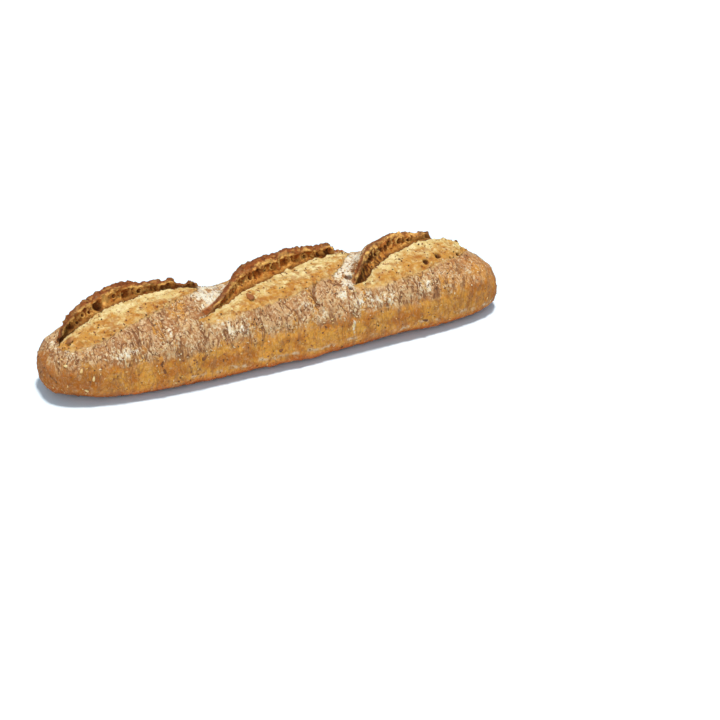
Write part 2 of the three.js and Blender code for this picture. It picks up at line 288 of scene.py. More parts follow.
@dataclass(frozen=True)
class Slash:
    """One slash, with its bloom on the near side and its ear on the far side.

    edge, foot and landing are y over x: the bloom's near edge, the line where the ear stands and
    the line where the ear's back has come down. lift is the bloom's height above the crown at the
    foot. lean is how far the rim stands behind the foot, and rim is the rim's height. The fields
    that end in step are shares of the lean, counted from the foot.
    """

    edge: CurvePoints
    foot: CurvePoints
    lift: CurvePoints
    lean: CurvePoints
    rim: CurvePoints
    landing: CurvePoints
    # how the crumb, the back and the face are shaped
    fade: float = 9.0
    bulge: float = 1.1
    sink: float = 0.5
    least_back: float = 2.0
    steep_back: Pair = (0.6, 0.9)
    lip_lean: float = 0.58
    lip_height: float = 0.7
    lip_step: float = 0.62
    overhang: float = 0.9
    hollow: float = 1.6
    hollow_power: float = 0.8
    rim_bulge: float = 0.5
    rim_start: float = 2.0
    rough_height: Pair = (1.0, 5.0)
    # the crevice at the foot and the seam at the near edge
    crevice_depth: float = 0.9
    crevice_reach: float = 0.9
    crevice_shade: float = 1.1
    seam_offset: float = 0.9
    seam_lip: float = 0.4
    seam_lip_reach: float = 1.1
    seam_groove: float = 0.5
    seam_groove_reach: float = 0.8
    # where the marks begin and end
    edge_noise: float = 3.0
    edge_blur: float = 1.4
    edge_fade: Pair = (0.0, 0.25)
    lip_reach: float = 1.3
    brim_step: float = 0.66
    brim_noise: float = 5.0
    brim_drift: float = 0.09
    brim_reach: float = 0.07
    torn_end: Pair = (0.11, 0.04)
    band_start: Pair = (0.02, 0.13)
    band_width: float = 2.0
    band_sharp: float = 0.4
    band_widening: Pair = (18.0, 6.0)
    band_height: float = 1.6
    top_offset: float = 0.2
    top_reach: float = 0.9
    shade_height: float = 3.0

    def back_share(self, t: Array, outward: Array) -> Array:
        """The share of the ear's height left at t, from the rim to the landing."""
        full = (1 - t) * (1 + t / 2)
        return mix(1 - smooth(t), full, between(*self.steep_back, outward))

    def open(self, form: "LoafForm", x: Array, y: Array, move: Array, marks: Marks) -> None:
        """Opens the slash in the crown.

        Args:
            form: the loaf's body.
            x: places along the loaf.
            y: places across it, on the body's crown.
            move: how far each point moves, as rows of (y, z), which this adds to.
            marks: what lies at each point, which this adds to.
        """
        start, end = self.edge[0][0], self.edge[-1][0]
        here = np.nonzero((x > start) & (x < end))[0]
        x, y = x[here], y[here]
        fade = smooth((x - start) / self.fade) * smooth((end - x) / self.fade)
        edge, foot = curve_at(self.edge, x), curve_at(self.foot, x)
        lift, lean = curve_at(self.lift, x), curve_at(self.lean, x)
        rim = foot + lean
        landing = np.maximum(curve_at(self.landing, x), rim + self.least_back)
        crown = form.crown(x, y)
        outside = (landing - form.centre_line(x)) / form.half_width(x)

        def under(at: Array) -> Array:
            """The height of the body above its crown behind the foot."""
            s = np.clip((at - foot) / (landing - foot), 0, 1)
            return fade * (lift * (1 - s) ** 3 - self.sink * np.sin(math.pi * s))

        across = np.clip((y - edge) / (foot - edge), 0, 1)
        inside = (y > edge) & (y <= foot)
        dz = np.where(inside, fade * (self.bulge * np.sin(math.pi * across) + lift * across**2), 0.0)
        dz += fade * self.seam_lip * hill(y, edge - self.seam_offset, self.seam_lip_reach) * (y < rim)
        groove = hill(y, edge + self.seam_offset, self.seam_groove_reach) * (y < foot)
        dz -= fade * self.seam_groove * groove
        dz -= fade * self.crevice_depth * hill(y, foot, self.crevice_reach) * (y <= foot)
        dy = np.zeros(len(x))

        foot_z = form.crown(x, foot) + fade * (lift - self.crevice_depth)
        rim_z = np.maximum(curve_at(self.rim, x), form.crown(x, rim) + under(rim))
        rim_z = mix(form.crown(x, rim) + under(rim), rim_z, between(start, start + self.rim_start, x))
        tall = np.maximum(rim_z - foot_z, 0)
        rough = between(*self.rough_height, tall)
        lip_y = foot + lean * self.lip_lean - self.overhang * rough
        lip_z = foot_z + tall * self.lip_height
        step = (y - foot) / lean
        low = np.clip(step / self.lip_step, 0, 1)
        high = np.clip((step - self.lip_step) / (1 - self.lip_step), 0, 1)
        face_y = mix(foot, lip_y, low) + self.hollow * rough * np.sin(math.pi * low) ** self.hollow_power
        face_y += (rim - lip_y) * high - self.rim_bulge * rough * np.sin(math.pi * high)
        face_z = mix(foot_z, lip_z, low) + (rim_z - lip_z) * high
        face_z += self.rim_bulge * rough * np.sin(math.pi * high)
        on_face = (y > foot) & (y <= rim)
        dy = np.where(on_face, face_y - y, dy)
        dz = np.where(on_face, face_z - crown, dz)

        t = np.clip((y - rim) / (landing - rim), 0, 1)
        above = rim_z - form.crown(x, rim)
        back = above * self.back_share(t, outside)
        on_back = (y > rim) & (y < landing)
        dz = np.where(on_back, np.maximum(back, under(y)), dz)
        move[here, 0] += dy
        move[here, 1] += dz

        places = np.stack([x, y, np.zeros(len(x))], axis=-1)
        past_edge = y - edge + Grain(Lot.BLOOM_EDGE).layers(places, self.edge_noise, 3)
        opened = between(-self.edge_blur, self.edge_blur, past_edge) * between(*self.edge_fade, fade)
        marks.bloom[here] += opened * (y <= foot)
        marks.across[here] += inside * across
        past_brim = step - self.brim_step
        marks.torn[here] += on_face * rough * between(*self.torn_end, past_brim)
        marks.rise[here] += on_face * rough * np.clip(step / self.brim_step, 0, 1)
        # the brim: a raised ridge, which the crust's material paints bright as a highlight
        drift = Grain(Lot.BRIM_DRIFT).layers(places * [1, 0, 0], self.brim_noise, 3)
        marks.brim[here] += on_face * rough * hill(past_brim, self.brim_drift * drift, self.brim_reach)
        band = on_face * between(*self.band_start, past_brim)
        from_start = x - start
        width = self.band_width * (1 + between(*self.band_widening, from_start))
        band += on_back * between(width, width * self.band_sharp, y - rim)
        marks.band[here] += band * smooth(tall / self.band_height)
        marks.top[here] += rough * hill(y, rim + self.top_offset, self.top_reach)
        # painted shade at the ear's foot, which the crust's material darkens
        crevice = hill(y, foot + self.top_offset, self.crevice_shade) * (y < rim)
        marks.crevice[here] += crevice * smooth(tall / self.shade_height)
        marks.flap[here] += on_back * smooth(above / self.shade_height)
        marks.lip[here] += fade * hill(y, edge, self.lip_reach) * (y < rim)


LEFT_SLASH = Slash(
    edge=[(-127, -7.6), (-121, -13.4), (-110, -16.4), (-98, -15.4), (-85, -11.4), (-70, -7.2), (-55, 0.3),
          (-45, 4.8), (-36.5, 10.7)],
    foot=[(-127, -6.6), (-117.5, 0), (-104.5, 4.2), (-91, 9.4), (-76, 13.2), (-59, 14.9), (-46, 14.2),
          (-36.5, 11.1)],
    lift=[(-127, 0), (-112, 0.5), (-95, 1.5), (-70, 1.5), (-50, 0.5), (-36.5, 0)],
    lean=[(-127, 0.3), (-121.5, 1.7), (-117.5, 2.7), (-112.5, 4.2), (-106.5, 5.8), (-100, 6.9), (-91, 7),
          (-83, 6.3), (-76, 5.3), (-63, 4.4), (-52, 3.1), (-44.5, 1.7), (-36.5, 0.7)],
    rim=[(-127, 27.5), (-121.5, 36.7), (-117.5, 40.4), (-112.5, 43.2), (-106.5, 45.4), (-100, 46),
         (-91, 47.4), (-83, 47.7), (-76, 47.4), (-71, 45), (-63, 44.5), (-56, 42.9), (-52, 44.3),
         (-48, 40.8), (-44.5, 40), (-41.5, 42.4), (-39, 40), (-36.5, 38)],
    landing=[(-127, -2), (-121, 8), (-112, 18.5), (-100, 24.5), (-85, 27), (-60, 27), (-46, 21),
             (-36.5, 15)],
)
MIDDLE_SLASH = Slash(
    edge=[(-51.5, -21.1), (-44.5, -22.5), (-30.5, -21.7), (-14, -19.3), (0, -17.2), (13, -14.1), (27, -8.8),
          (38, -3.9), (45, 3.4), (50, 10.6), (56.5, 18.4)],
    foot=[(-51.5, -20.5), (-40.5, -15.8), (-26.5, -8.8), (-14, 0.2), (0, 5.1), (14, 11), (28, 16.5),
          (43, 19), (56.5, 19.3)],
    lift=[(-51.5, -0.5), (-44, -2), (-30, -2.2), (-14, -1.8), (0, -1.8), (20, -1), (40, 0), (56.5, 0)],
    lean=[(-51.5, 0.3), (-44.5, 1.5), (-38.5, 2.7), (-32.5, 3.7), (-25.5, 5.4), (-17.5, 7.7), (-7.5, 9),
          (-0.5, 9), (7.5, 8.2), (18, 7.2), (28, 5.8), (36.5, 4.9), (44.5, 3.8), (52.5, 1.7), (56.5, 1)],
    rim=[(-51.5, 34.2), (-44.5, 36.4), (-38.5, 38.5), (-32.5, 41.6), (-25.5, 44.4), (-17.5, 47.6),
         (-7.5, 47.2), (-0.5, 48.4), (7.5, 47.1), (18, 46.7), (28, 44.4), (36.5, 43), (44.5, 43),
         (47.5, 38.2), (52.5, 37.7), (56.5, 34.5)],
    landing=[(-51.5, -14), (-44, -9), (-36, -4), (-28, 2.5), (-20, 12), (-12, 21), (0, 28), (14, 29.7),
             (28, 30), (45, 28.5), (56.5, 22)],
)
RIGHT_SLASH = Slash(
    edge=[(41, -17.8), (49.5, -19.3), (58.5, -19.2), (68.5, -17.4), (80.5, -15.7), (91.5, -12.5),
          (100.5, -8), (112.5, -3.6), (121, 4.2), (127, 7.6)],
    foot=[(41, -17.3), (50.5, -14.1), (58.5, -7.7), (70.5, 1.3), (82.5, 8), (95.5, 14), (107, 16),
          (117.5, 13), (127, 8.2)],
    lift=[(41, -0.5), (47, -2.2), (53, -2), (62, -0.5), (75, 0.5), (92, 2.2), (104, 4.6), (115, 5.4),
          (121, 4), (127, 0)],
    lean=[(41, 0.4), (45, 1.3), (48, 2.5), (51.5, 3.8), (55.5, 6.1), (60, 7.8), (66.5, 8.6), (71.5, 9),
          (77.5, 8.2), (84.5, 6.9), (91, 5.5), (95.5, 4.4), (100.5, 3.1), (104, 2.3), (109, 1.1), (127, 1)],
    rim=[(41, 34.5), (45, 37.5), (48, 43.2), (51.5, 46.8), (55.5, 47.2), (60, 48.3), (66.5, 46.8),
         (71.5, 45.7), (77.5, 46.2), (84.5, 44.8), (91, 42.8), (95.5, 40.8), (100.5, 40.2), (104, 39.3),
         (106.5, 34.8), (109, 31), (127, 15)],
    landing=[(41, -13), (47, -3), (55, 10), (66, 22), (80, 27.8), (95, 25.8), (106, 22), (109, 20),
             (127, 14)],
    brim_step=0.86,
)


@dataclass(frozen=True)
class Swelling:
    """A gentle swelling or dent of the body: its place, its reach and its height."""

    x: float
    degrees: float
    reach: float
    spread: float
    height: float


@dataclass(frozen=True)
class LoafForm:
    """The loaf's body with its slashes, in millimetres."""

    length: float = 270.0
    width: float = 62.3
    crown_height: float = 39.9
    belly_height: float = 13.8
    base_sink: float = 1.12
    left_power: float = 3.1
    right_power: float = 3.33
    crown_power: float = 2.52
    base_power: float = 3.2
    crown_taper: float = 1.1
    base_taper: float = 0.51
    slimming: float = 0.053
    side_bend: float = 1.88
    side_sway: float = 2.94
    side_shift: float = 0.5
    outline_steps: int = 4000
    slashes: tuple[Slash, ...] = (LEFT_SLASH, MIDDLE_SLASH, RIGHT_SLASH)
    swellings: tuple[Swelling, ...] = (
        Swelling(9, 203, 13, 22, 1.3),
        Swelling(-60, 148, 16, 22, 0.6),
        Swelling(-22, 160, 14, 24, -0.5),
        Swelling(36, 156, 16, 24, 0.5),
        Swelling(76, 158, 14, 24, -0.5),
        Swelling(-62, 12, 26, 26, -0.8),
        Swelling(48, 10, 30, 26, 0.5),
        Swelling(66, 222, 24, 24, -1.5),
        Swelling(-126, 218, 12, 28, -2.2),
        Swelling(-25, 58, 16, 28, -3.8),
    )

    def places(self, u: Array) -> Array:
        """x at equal shares u, from 0 to 1, of the way along the loaf's outline.

        Args:
            u: the shares.

        Returns:
            x at each share.
        """
        turn = np.linspace(0, math.pi, self.outline_steps + 1)
        c, s = np.cos(turn), np.maximum(np.sin(turn), 0)
        power = 2 / np.where(c > 0, self.left_power, self.right_power)
        along = -np.sign(c) * np.abs(c) ** power * self.length / 2
        aside = s**power * self.width / 2
        way = np.concatenate([[0], np.cumsum(np.hypot(np.diff(along), np.diff(aside)))])
        return np.interp(u * way[-1], way, along)

    def width_share(self, x: Array) -> Array:
        """The half width at x as a share of the largest, before the slimming.

        Args:
            x: places along the loaf.

        Returns:
            The share at each place, from 0 to 1.
        """
        share = np.minimum(np.abs(x) / (self.length / 2), 1)
        power = np.where(x < 0, self.left_power, self.right_power)
        return np.maximum(1 - share**power, 1e-9) ** (1 / power)

    def fullness(self, x: Array) -> Array:
        """How much fuller or slimmer the loaf is at x."""
        return 1 - self.slimming * x / (self.length / 2)

    def half_width(self, x: Array) -> Array:
        """The half width at x."""
        return self.width / 2 * self.width_share(x) * self.fullness(x)

    def centre_line(self, x: Array) -> Array:
        """The line about which the loaf is widened, as y."""
        along = x / (self.length / 2)
        return self.side_shift - self.side_bend * along**2 + self.side_sway * (along - along**3)

    def swell(self, x: Array, angle: Array) -> Array:
        """How far the swellings and dents move the surface outwards.

        Args:
            x: places along the loaf.
            angle: angles round the section.

        Returns:
            The distance at each place, below 0 in a dent.
        """
        height = np.zeros(len(x))
        for s in self.swellings:
            turn = (np.degrees(angle) - s.degrees + 180) % 360 - 180
            height += s.height * hill(x, s.x, s.reach) * np.exp(-((turn / s.spread) ** 2))
        return height

    def crown_rise(self, x: Array) -> Array:
        """The height of the crown above the belly at x."""
        rise = self.crown_height - self.belly_height
        return rise * self.width_share(x) ** self.crown_taper * self.fullness(x)

    def crown(self, x: Array, y: Array) -> Array:
        """The height of the plain body's crown over x, y.

        Args:
            x: places along the loaf.
            y: places across it.

        Returns:
            The heights.
        """
        across = np.clip((y - self.centre_line(x)) / self.half_width(x), -1, 1)
        up = np.maximum(1 - np.abs(across) ** self.crown_power, 0) ** (1 / self.crown_power)
        angle = np.arctan2(up, across)
        return self.belly_height + self.crown_rise(x) * up + self.swell(x, angle) * np.sin(angle)

    def body(self, x: Array, angle: Array) -> Array:
        """Points of the plain body at x and at angles round its section, 0 at the far side.

        Args:
            x: places along the loaf.
            angle: angles round the section.

        Returns:
            The points, one row each.
        """
        c, s = np.cos(angle), np.sin(angle)
        power = np.where(s > 0, self.crown_power, self.base_power)
        radius = (np.abs(c) ** power + np.abs(s) ** power) ** (-1 / power)
        low_rise = self.belly_height * self.base_sink * self.width_share(x) ** self.base_taper
        rise = np.where(s > 0, self.crown_rise(x), low_rise)
        swell = self.swell(x, angle)
        y = self.centre_line(x) + (self.half_width(x) * radius + swell) * c
        z = self.belly_height + (rise * radius + swell) * s
        return np.stack([x, y, np.maximum(z, 0)], axis=-1)

    def surface(self, u: Array, angle: Array) -> tuple[Array, Marks]:
        """The surface with its opened slashes.

        Args:
            u: shares of the way along the outline, from 0 to 1.
            angle: angles round the section.

        Returns:
            The points, one row each, and the marks of what lies there.
        """
        x = self.places(u)
        points = self.body(x, angle)
        marks = Marks.blank(len(x))
        move = np.zeros((len(x), 2))
        top = np.nonzero(np.sin(angle) > 0)[0]
        top_marks = Marks.blank(len(top))
        top_move = np.zeros((len(top), 2))
        for slash in self.slashes:
            slash.open(self, points[top, 0], points[top, 1], top_move, top_marks)
        move[top] = top_move
        for name in vars(marks):
            getattr(marks, name)[top] = np.clip(getattr(top_marks, name), 0, 1)
        points[:, 1:] += move
        return points, marks


# ---------------------------------------------------------------- the loaf's mesh


@dataclass
class Skin:
    """A closed skin of triangles over the loaf, by place along and angle round."""

    form: LoafForm
    stations: int = 150
    ring: int = 84
    fine: float = 0.62
    bloom: float = 1.0
    crust: float = 1.35
    far: float = 2.4
    base: float = 4.0
    far_side: float = 12.0
    rounds: int = 4
    passes: int = 6
    u: Array = field(init=False)
    angle: Array = field(init=False)
    faces: Array = field(init=False)

    def build(self) -> tuple[Array, Marks]:
        """Lays the coarse skin, then splits its edges until all are short enough.

        Returns:
            The points, one row each, and the marks of what lies there.
        """
        self._lay()
        for _ in range(self.rounds):
            points, marks = self.form.surface(self.u, self.angle)
            if not self._split(points, self._target(points, marks)):
                break
        return self.form.surface(self.u, self.angle)

    def _lay(self) -> None:
        """Rings of points between one point at each end."""
        us = np.linspace(0, 1, self.stations)[1:-1]
        angles = np.linspace(0, 2 * math.pi, self.ring, endpoint=False)
        self.u = np.concatenate([np.repeat(us, self.ring), [0.0, 1.0]])
        self.angle = np.concatenate([np.tile(angles, len(us)), [0.0, 0.0]])
        row = np.arange(len(us) - 1)[:, None] * self.ring
        j = np.arange(self.ring)[None, :]
        k = (j + 1) % self.ring
        a, b, c, d = row + j, row + k, row + self.ring + k, row + self.ring + j
        quads = [np.stack([a, b, c], -1), np.stack([a, c, d], -1)]
        j, k = j[0], k[0]
        left = np.full(self.ring, len(self.u) - 2)
        right = np.full(self.ring, len(self.u) - 1)
        last = (len(us) - 1) * self.ring
        caps = [np.stack([left, k, j], -1), np.stack([right, last + j, last + k], -1)]
        self.faces = np.vstack([q.reshape(-1, 3) for q in quads] + caps)

    def _target(self, points: Array, marks: Marks) -> Array:
        """The longest edge wanted at each point.

        Args:
            points: the skin's points.
            marks: what lies at each point.

        Returns:
            The longest edge at each point, in millimetres.
        """
        size = np.where(points[:, 1] > self.far_side, self.far, self.crust)
        size = mix(size, self.bloom, np.maximum(marks.bloom, marks.lip))
        size = mix(size, self.fine, np.clip(marks.torn + marks.band + marks.crevice, 0, 1))
        return np.where(points[:, 2] < FLOOR, self.base, size)

    def _split(self, points: Array, target: Array) -> bool:
        """Splits each edge that is too long; returns whether any was.

        Args:
            points: the skin's points.
            target: the longest edge wanted at each point.

        Returns:
            Whether any edge was split.
        """
        f = self.faces
        pairs = np.vstack([f[:, [0, 1]], f[:, [1, 2]], f[:, [2, 0]]])
        pairs.sort(axis=1)
        key = pairs[:, 0] * len(self.u) + pairs[:, 1]
        keys, edge_of = np.unique(key, return_inverse=True)
        a, b = keys // len(self.u), keys % len(self.u)
        length = np.linalg.norm(points[a] - points[b], axis=1)
        marked = length > np.maximum(target[a], target[b])
        edge_of = edge_of.reshape(3, -1).T
        longest = np.take_along_axis(edge_of, length[edge_of].argmax(1)[:, None], 1)[:, 0]
        for _ in range(self.passes):
            touched = marked[edge_of].any(1)
            if marked[longest[touched]].all():
                break
            marked[longest[touched]] = True
        if not marked.any():
            return False
        index = np.full(len(keys), -1)
        index[marked] = len(self.u) + np.arange(marked.sum())
        a, b = a[marked], b[marked]
        ends = np.isin(a, [self._tip(0), self._tip(1)]) | np.isin(b, [self._tip(0), self._tip(1)])
        turn = (self.angle[b] - self.angle[a] + math.pi) % (2 * math.pi) - math.pi
        middle = (self.angle[a] + turn / 2) % (2 * math.pi)
        ring_end = np.where(np.isin(a, [self._tip(0), self._tip(1)]), b, a)
        middle = np.where(ends, self.angle[ring_end], middle)
        self.faces = self._retriangulate(f, index[edge_of])
        self.u = np.concatenate([self.u, (self.u[a] + self.u[b]) / 2])
        self.angle = np.concatenate([self.angle, middle])
        return True

    def _tip(self, end: int) -> int:
        """The index of the point at the left end, 0, or the right end, 1."""
        return (self.stations - 2) * self.ring + end

    @staticmethod
    def _retriangulate(faces: Array, middles: Array) -> Array:
        """Cuts each face by the middles of its split edges, which are -1 where not split.

        Args:
            faces: the triangles.
            middles: the new point on each of their edges, or -1 where there is none.

        Returns:
            The new triangles.
        """
        cut = middles >= 0
        count = cut.sum(1)
        parts = [faces[count == 0]]
        f, m = faces[count == 3], middles[count == 3]
        for corner in (0, 1, 2):
            parts.append(np.stack([f[:, corner], m[:, corner], m[:, corner - 1]], -1))
        parts.append(m)
        for turn in (0, 1, 2):
            order = [turn, (turn + 1) % 3, (turn + 2) % 3]
            one = (count == 1) & cut[:, turn]
            f, m = faces[one][:, order], middles[one][:, order]
            parts.append(np.stack([f[:, 0], m[:, 0], f[:, 2]], -1))
            parts.append(np.stack([m[:, 0], f[:, 1], f[:, 2]], -1))
            two = (count == 2) & ~cut[:, (turn + 2) % 3]
            f, m = faces[two][:, order], middles[two][:, order]
            parts.append(np.stack([m[:, 0], f[:, 1], m[:, 1]], -1))
            parts.append(np.stack([f[:, 0], m[:, 0], m[:, 1]], -1))
            parts.append(np.stack([f[:, 0], m[:, 1], f[:, 2]], -1))
        return np.vstack(parts)


def normals_of(points: Array, faces: Array) -> tuple[Array, Array]:
    """The normal and the share of surface at each point of a mesh of triangles.

    Args:
        points: the mesh's points.
        faces: its triangles.

    Returns:
        The normals, one row each, and the area that belongs to each point.
    """
    a, b, c = (points[faces[:, i]] for i in range(3))
    cross = np.cross(b - a, c - a)
    normal = np.zeros_like(points)
    area = np.zeros(len(points))
    for i in range(3):
        for axis in range(3):
            normal[:, axis] += np.bincount(faces[:, i], cross[:, axis], len(points))
        area += np.bincount(faces[:, i], np.linalg.norm(cross, axis=1) / 6, len(points))
    normal /= np.maximum(np.linalg.norm(normal, axis=1, keepdims=True), 1e-12)
    return normal, area


def make_mesh(name: str, points: Array, faces: Array) -> bpy.types.Object:
    """Makes a mesh object that is shaded smooth.

    Args:
        name: the piece's name.
        points: its points in millimetres.
        faces: its triangles.

    Returns:
        The object, linked to the scene at the origin.
    """
    mesh = bpy.data.meshes.new(name)
    mesh.vertices.add(len(points))
    mesh.vertices.foreach_set("co", (points * MM).astype(np.float32).ravel())
    mesh.loops.add(faces.size)
    mesh.loops.foreach_set("vertex_index", faces.astype(np.int32).ravel())
    mesh.polygons.add(len(faces))
    mesh.polygons.foreach_set("loop_start", np.arange(0, faces.size, 3, dtype=np.int32))
    mesh.polygons.foreach_set("use_smooth", np.full(len(faces), True))
    mesh.update(calc_edges=True)
    mesh.validate()
    obj = bpy.data.objects.new(name, mesh)
    bpy.context.scene.collection.objects.link(obj)
    return obj


def add_mark(obj: bpy.types.Object, name: str, values: Array) -> None:
    """Stores a number for each point of a piece, which its material reads."""
    attribute = obj.data.attributes.new(name, "FLOAT", "POINT")
    attribute.data.foreach_set("value", values.astype(np.float32))


# ---------------------------------------------------------------- crust detail


@dataclass(frozen=True)
class Hole:
    """The section of a hole over the gap, the distance from its middle as a share of its half width.

    wall and shadow are the gaps between which its wall comes up and its darkness ends.
    """

    wall: Pair
    shadow: Pair
    rim_height: float
    rim_gap: float
    rim_reach: float

    def height(self, gap: Array, depth: float) -> Array:
        """The height of the surface at a gap, below 0 in the hole."""
        rim = self.rim_height * hill(gap, self.rim_gap, self.rim_reach)
        return rim - depth * between(*self.wall, gap)


@dataclass(frozen=True)
class Pit:
    """A pit left by a burst bubble: its place, its width across and its depth."""

    x: float
    degrees: float
    across: float
    depth: float


@dataclass(frozen=True)
class Bubble:
    """An opened bubble in a torn face: its place, the way up the face, its width and its depth."""

    x: float
    rise: float
    across: float
    depth: float


@dataclass(frozen=True)
class Crack:
    """A crack through (x, degrees) places on the surface."""

    places: tuple[tuple[float, float], ...]
    half_width: float
    depth: float


@dataclass(frozen=True)
class Patch:
    """A patch of flour: its place, its reach along and round, and how white it is."""

    x: float
    degrees: float
    reach: float
    spread: float
    strength: float


@dataclass
class Looks:
    """Numbers for each point of the skin, which the crust's material reads."""

    flour: Array
    # painted shade in ear crevices, pockets, bubbles, pits and cracks
    painted_shade: Array
    low: Array
    # the relief's height, which paints shade in sunk places and highlights on raised crags
    painted_relief_light: Array
    seam: Array
    # painted highlight on the ribs of torn faces and round bubble rims
    rib_highlight: Array
    burnt: Array


@dataclass(frozen=True)
class CrustRelief:
    """The fine relief of the crust, the crumb and the torn ears, in millimetres."""

    form: LoafForm
    # the noise that bends the rest, and the gentle waves of the whole skin
    warp: float = 0.7
    warp_size: float = 5.0
    wave_size: Triple = (9.0, 7.0, 6.0)
    wave_height: float = 0.3
    calm_height: float = 1.6
    least_height: float = 0.02
    # the crust
    wrinkle_size: Triple = (2.8, 9.0, 8.0)
    wrinkle_height: float = 0.5
    wrinkle_sharpness: float = 2.2
    wrinkle_side: Pair = (14.0, 2.0)
    wrinkle_far_share: float = 0.35
    wrinkle_gap: float = 6.0
    wrinkle_gap_ends: Pair = (-0.4, 0.5)
    flap_calm: float = 0.6
    crust_size: float = 1.9
    crust_height: float = 0.2
    blister_size: float = 5.5
    blister_limit: float = 0.72
    blister_wall: Pair = (0.34, 0.12)
    blister_height: float = 0.35
    # the torn faces, from their large pockets to their grit, and the rims
    arch_size: Triple = (6.4, 14.0, 16.0)
    arch_depth: float = 1.4
    arch_wall: Pair = (0.3, 0.02)
    arch_foot: Pair = (0.05, 0.5)
    arch_top: float = 1.05
    arch_top_drops: Pair = (0.3, 0.15)
    arch_fade: float = 0.2
    arch_least: float = 0.3
    arch_shadow: float = 0.3
    cave_size: Triple = (2.3, 2.2, 2.6)
    cave_depth: float = 0.9
    cave_wall: Pair = (0.1, 0.4)
    cave_limit: float = 0.56
    cave_limit_drop: float = 0.16
    cave_fade: float = 0.12
    cave_foot: Pair = (0.15, 0.7)
    cave_top: Pair = (1.0, 0.88)
    cave_shadow: float = 0.55
    right_ear: Pair = (50.0, 56.0)
    grit_size: Triple = (1.8, 1.5, 2.2)
    grit_height: float = 0.4
    # strength of the painted shade on the left part of the right ear's torn face
    painted_face_shade: float = 0.68
    gloom_start: Pair = (40.0, 46.0)
    gloom_end: Pair = (80.0, 66.0)
    gloom_grit: Pair = (-0.3, 0.5)
    rib_foot: Pair = (0.2, 0.6)
    face_height: float = 9.0
    least_torn: float = 0.3
    bubble: Hole = Hole((1.0, 0.3), (1.0, 0.35), 0.5, 1.1, 0.22)
    bubble_shadow: float = 0.6
    bubble_calm: Pair = (0.5, 1.0)
    bubble_glint: float = 1.3
    bubble_glint_reach: float = 0.26
    crag_size: Triple = (4.2, 2.4, 2.2)
    crag_height: float = 0.62
    crag_sink: float = 0.6
    brim_size: float = 2.4
    brim_lift: float = 0.2
    brim_height: float = 0.5
    # the blooms
    lump_size: Triple = (3.4, 3.0, 3.0)
    lump_height: float = 0.62
    crumb_size: float = 0.95
    crumb_height: float = 0.25
    scallop_size: Triple = (3.2, 2.6, 2.6)
    scallop_height: float = 0.9
    scallop_wall: Pair = (0.75, 0.1)
    scallop_least: float = 0.3
    scallop_line: Pair = (0.88, 0.16)
    chip_size: float = 1.9
    chip_height: float = 0.4
    # the pits and cracks
    pit: Hole = Hole((1.0, 0.45), (1.05, 0.6), 0.25, 1.15, 0.25)
    pit_noise: float = 0.9
    pit_noise_height: float = 0.12
    pit_dark_depth: Pair = (0.4, 1.2)
    crack: Hole = Hole((1.3, 0.2), (1.4, 0.5), 0.18, 2.0, 0.7)
    crack_noise: float = 1.1
    crack_noise_height: float = 0.3
    crack_shadow: float = 0.6
    crevice_shadow: float = 0.65
    # the seam low on the near flank
    fissure_height: float = 9.5
    fissure_depth: float = 0.5
    fissure_reach: float = 0.9
    fissure_side: Pair = (-8.0, -18.0)
    fissure_start: Pair = (-80.0, -35.0)
    fissure_start_noise: float = 12.0
    fissure_start_wander: float = 20.0
    fissure_wave_height: float = 1.2
    fissure_gap_ends: Pair = (-0.4, 0.4)
    fissure_wave: Triple = (9.0, 50.0, 50.0)
    fissure_gaps: Triple = (3.0, 30.0, 30.0)
    # the golden and burnt crust
    golden_height: float = 24.0
    golden_far_drop: float = 7.0
    golden_far_side: Pair = (-4.0, 12.0)
    golden_right: float = 0.55
    golden_right_start: Pair = (90.0, 118.0)
    golden_right_side: Pair = (4.0, -6.0)
    burnt_left: Pair = (-90.0, -126.0)
    burnt_right: Pair = (78.0, 120.0)
    burnt_right_share: float = 0.45
    # how fast the relief's height turns into painted shade and highlight
    scorch_slope: float = 1.1
    border_reach: float = 3.5
    border_wave: Triple = (6.0, 16.0, 16.0)
    border_wave_height: float = 2.6
    border_grain: float = 5.0
    border_grain_height: float = 2.0
    # the flour
    flour_all_over: float = 0.1
    flour_level: Pair = (-0.1, 0.5)
    flour_low_end: Pair = (20.0, 27.0)
    flour_least: float = 0.75
    flour_size: Triple = (2.8, 7.0, 7.0)
    flour_limit: float = 1.5
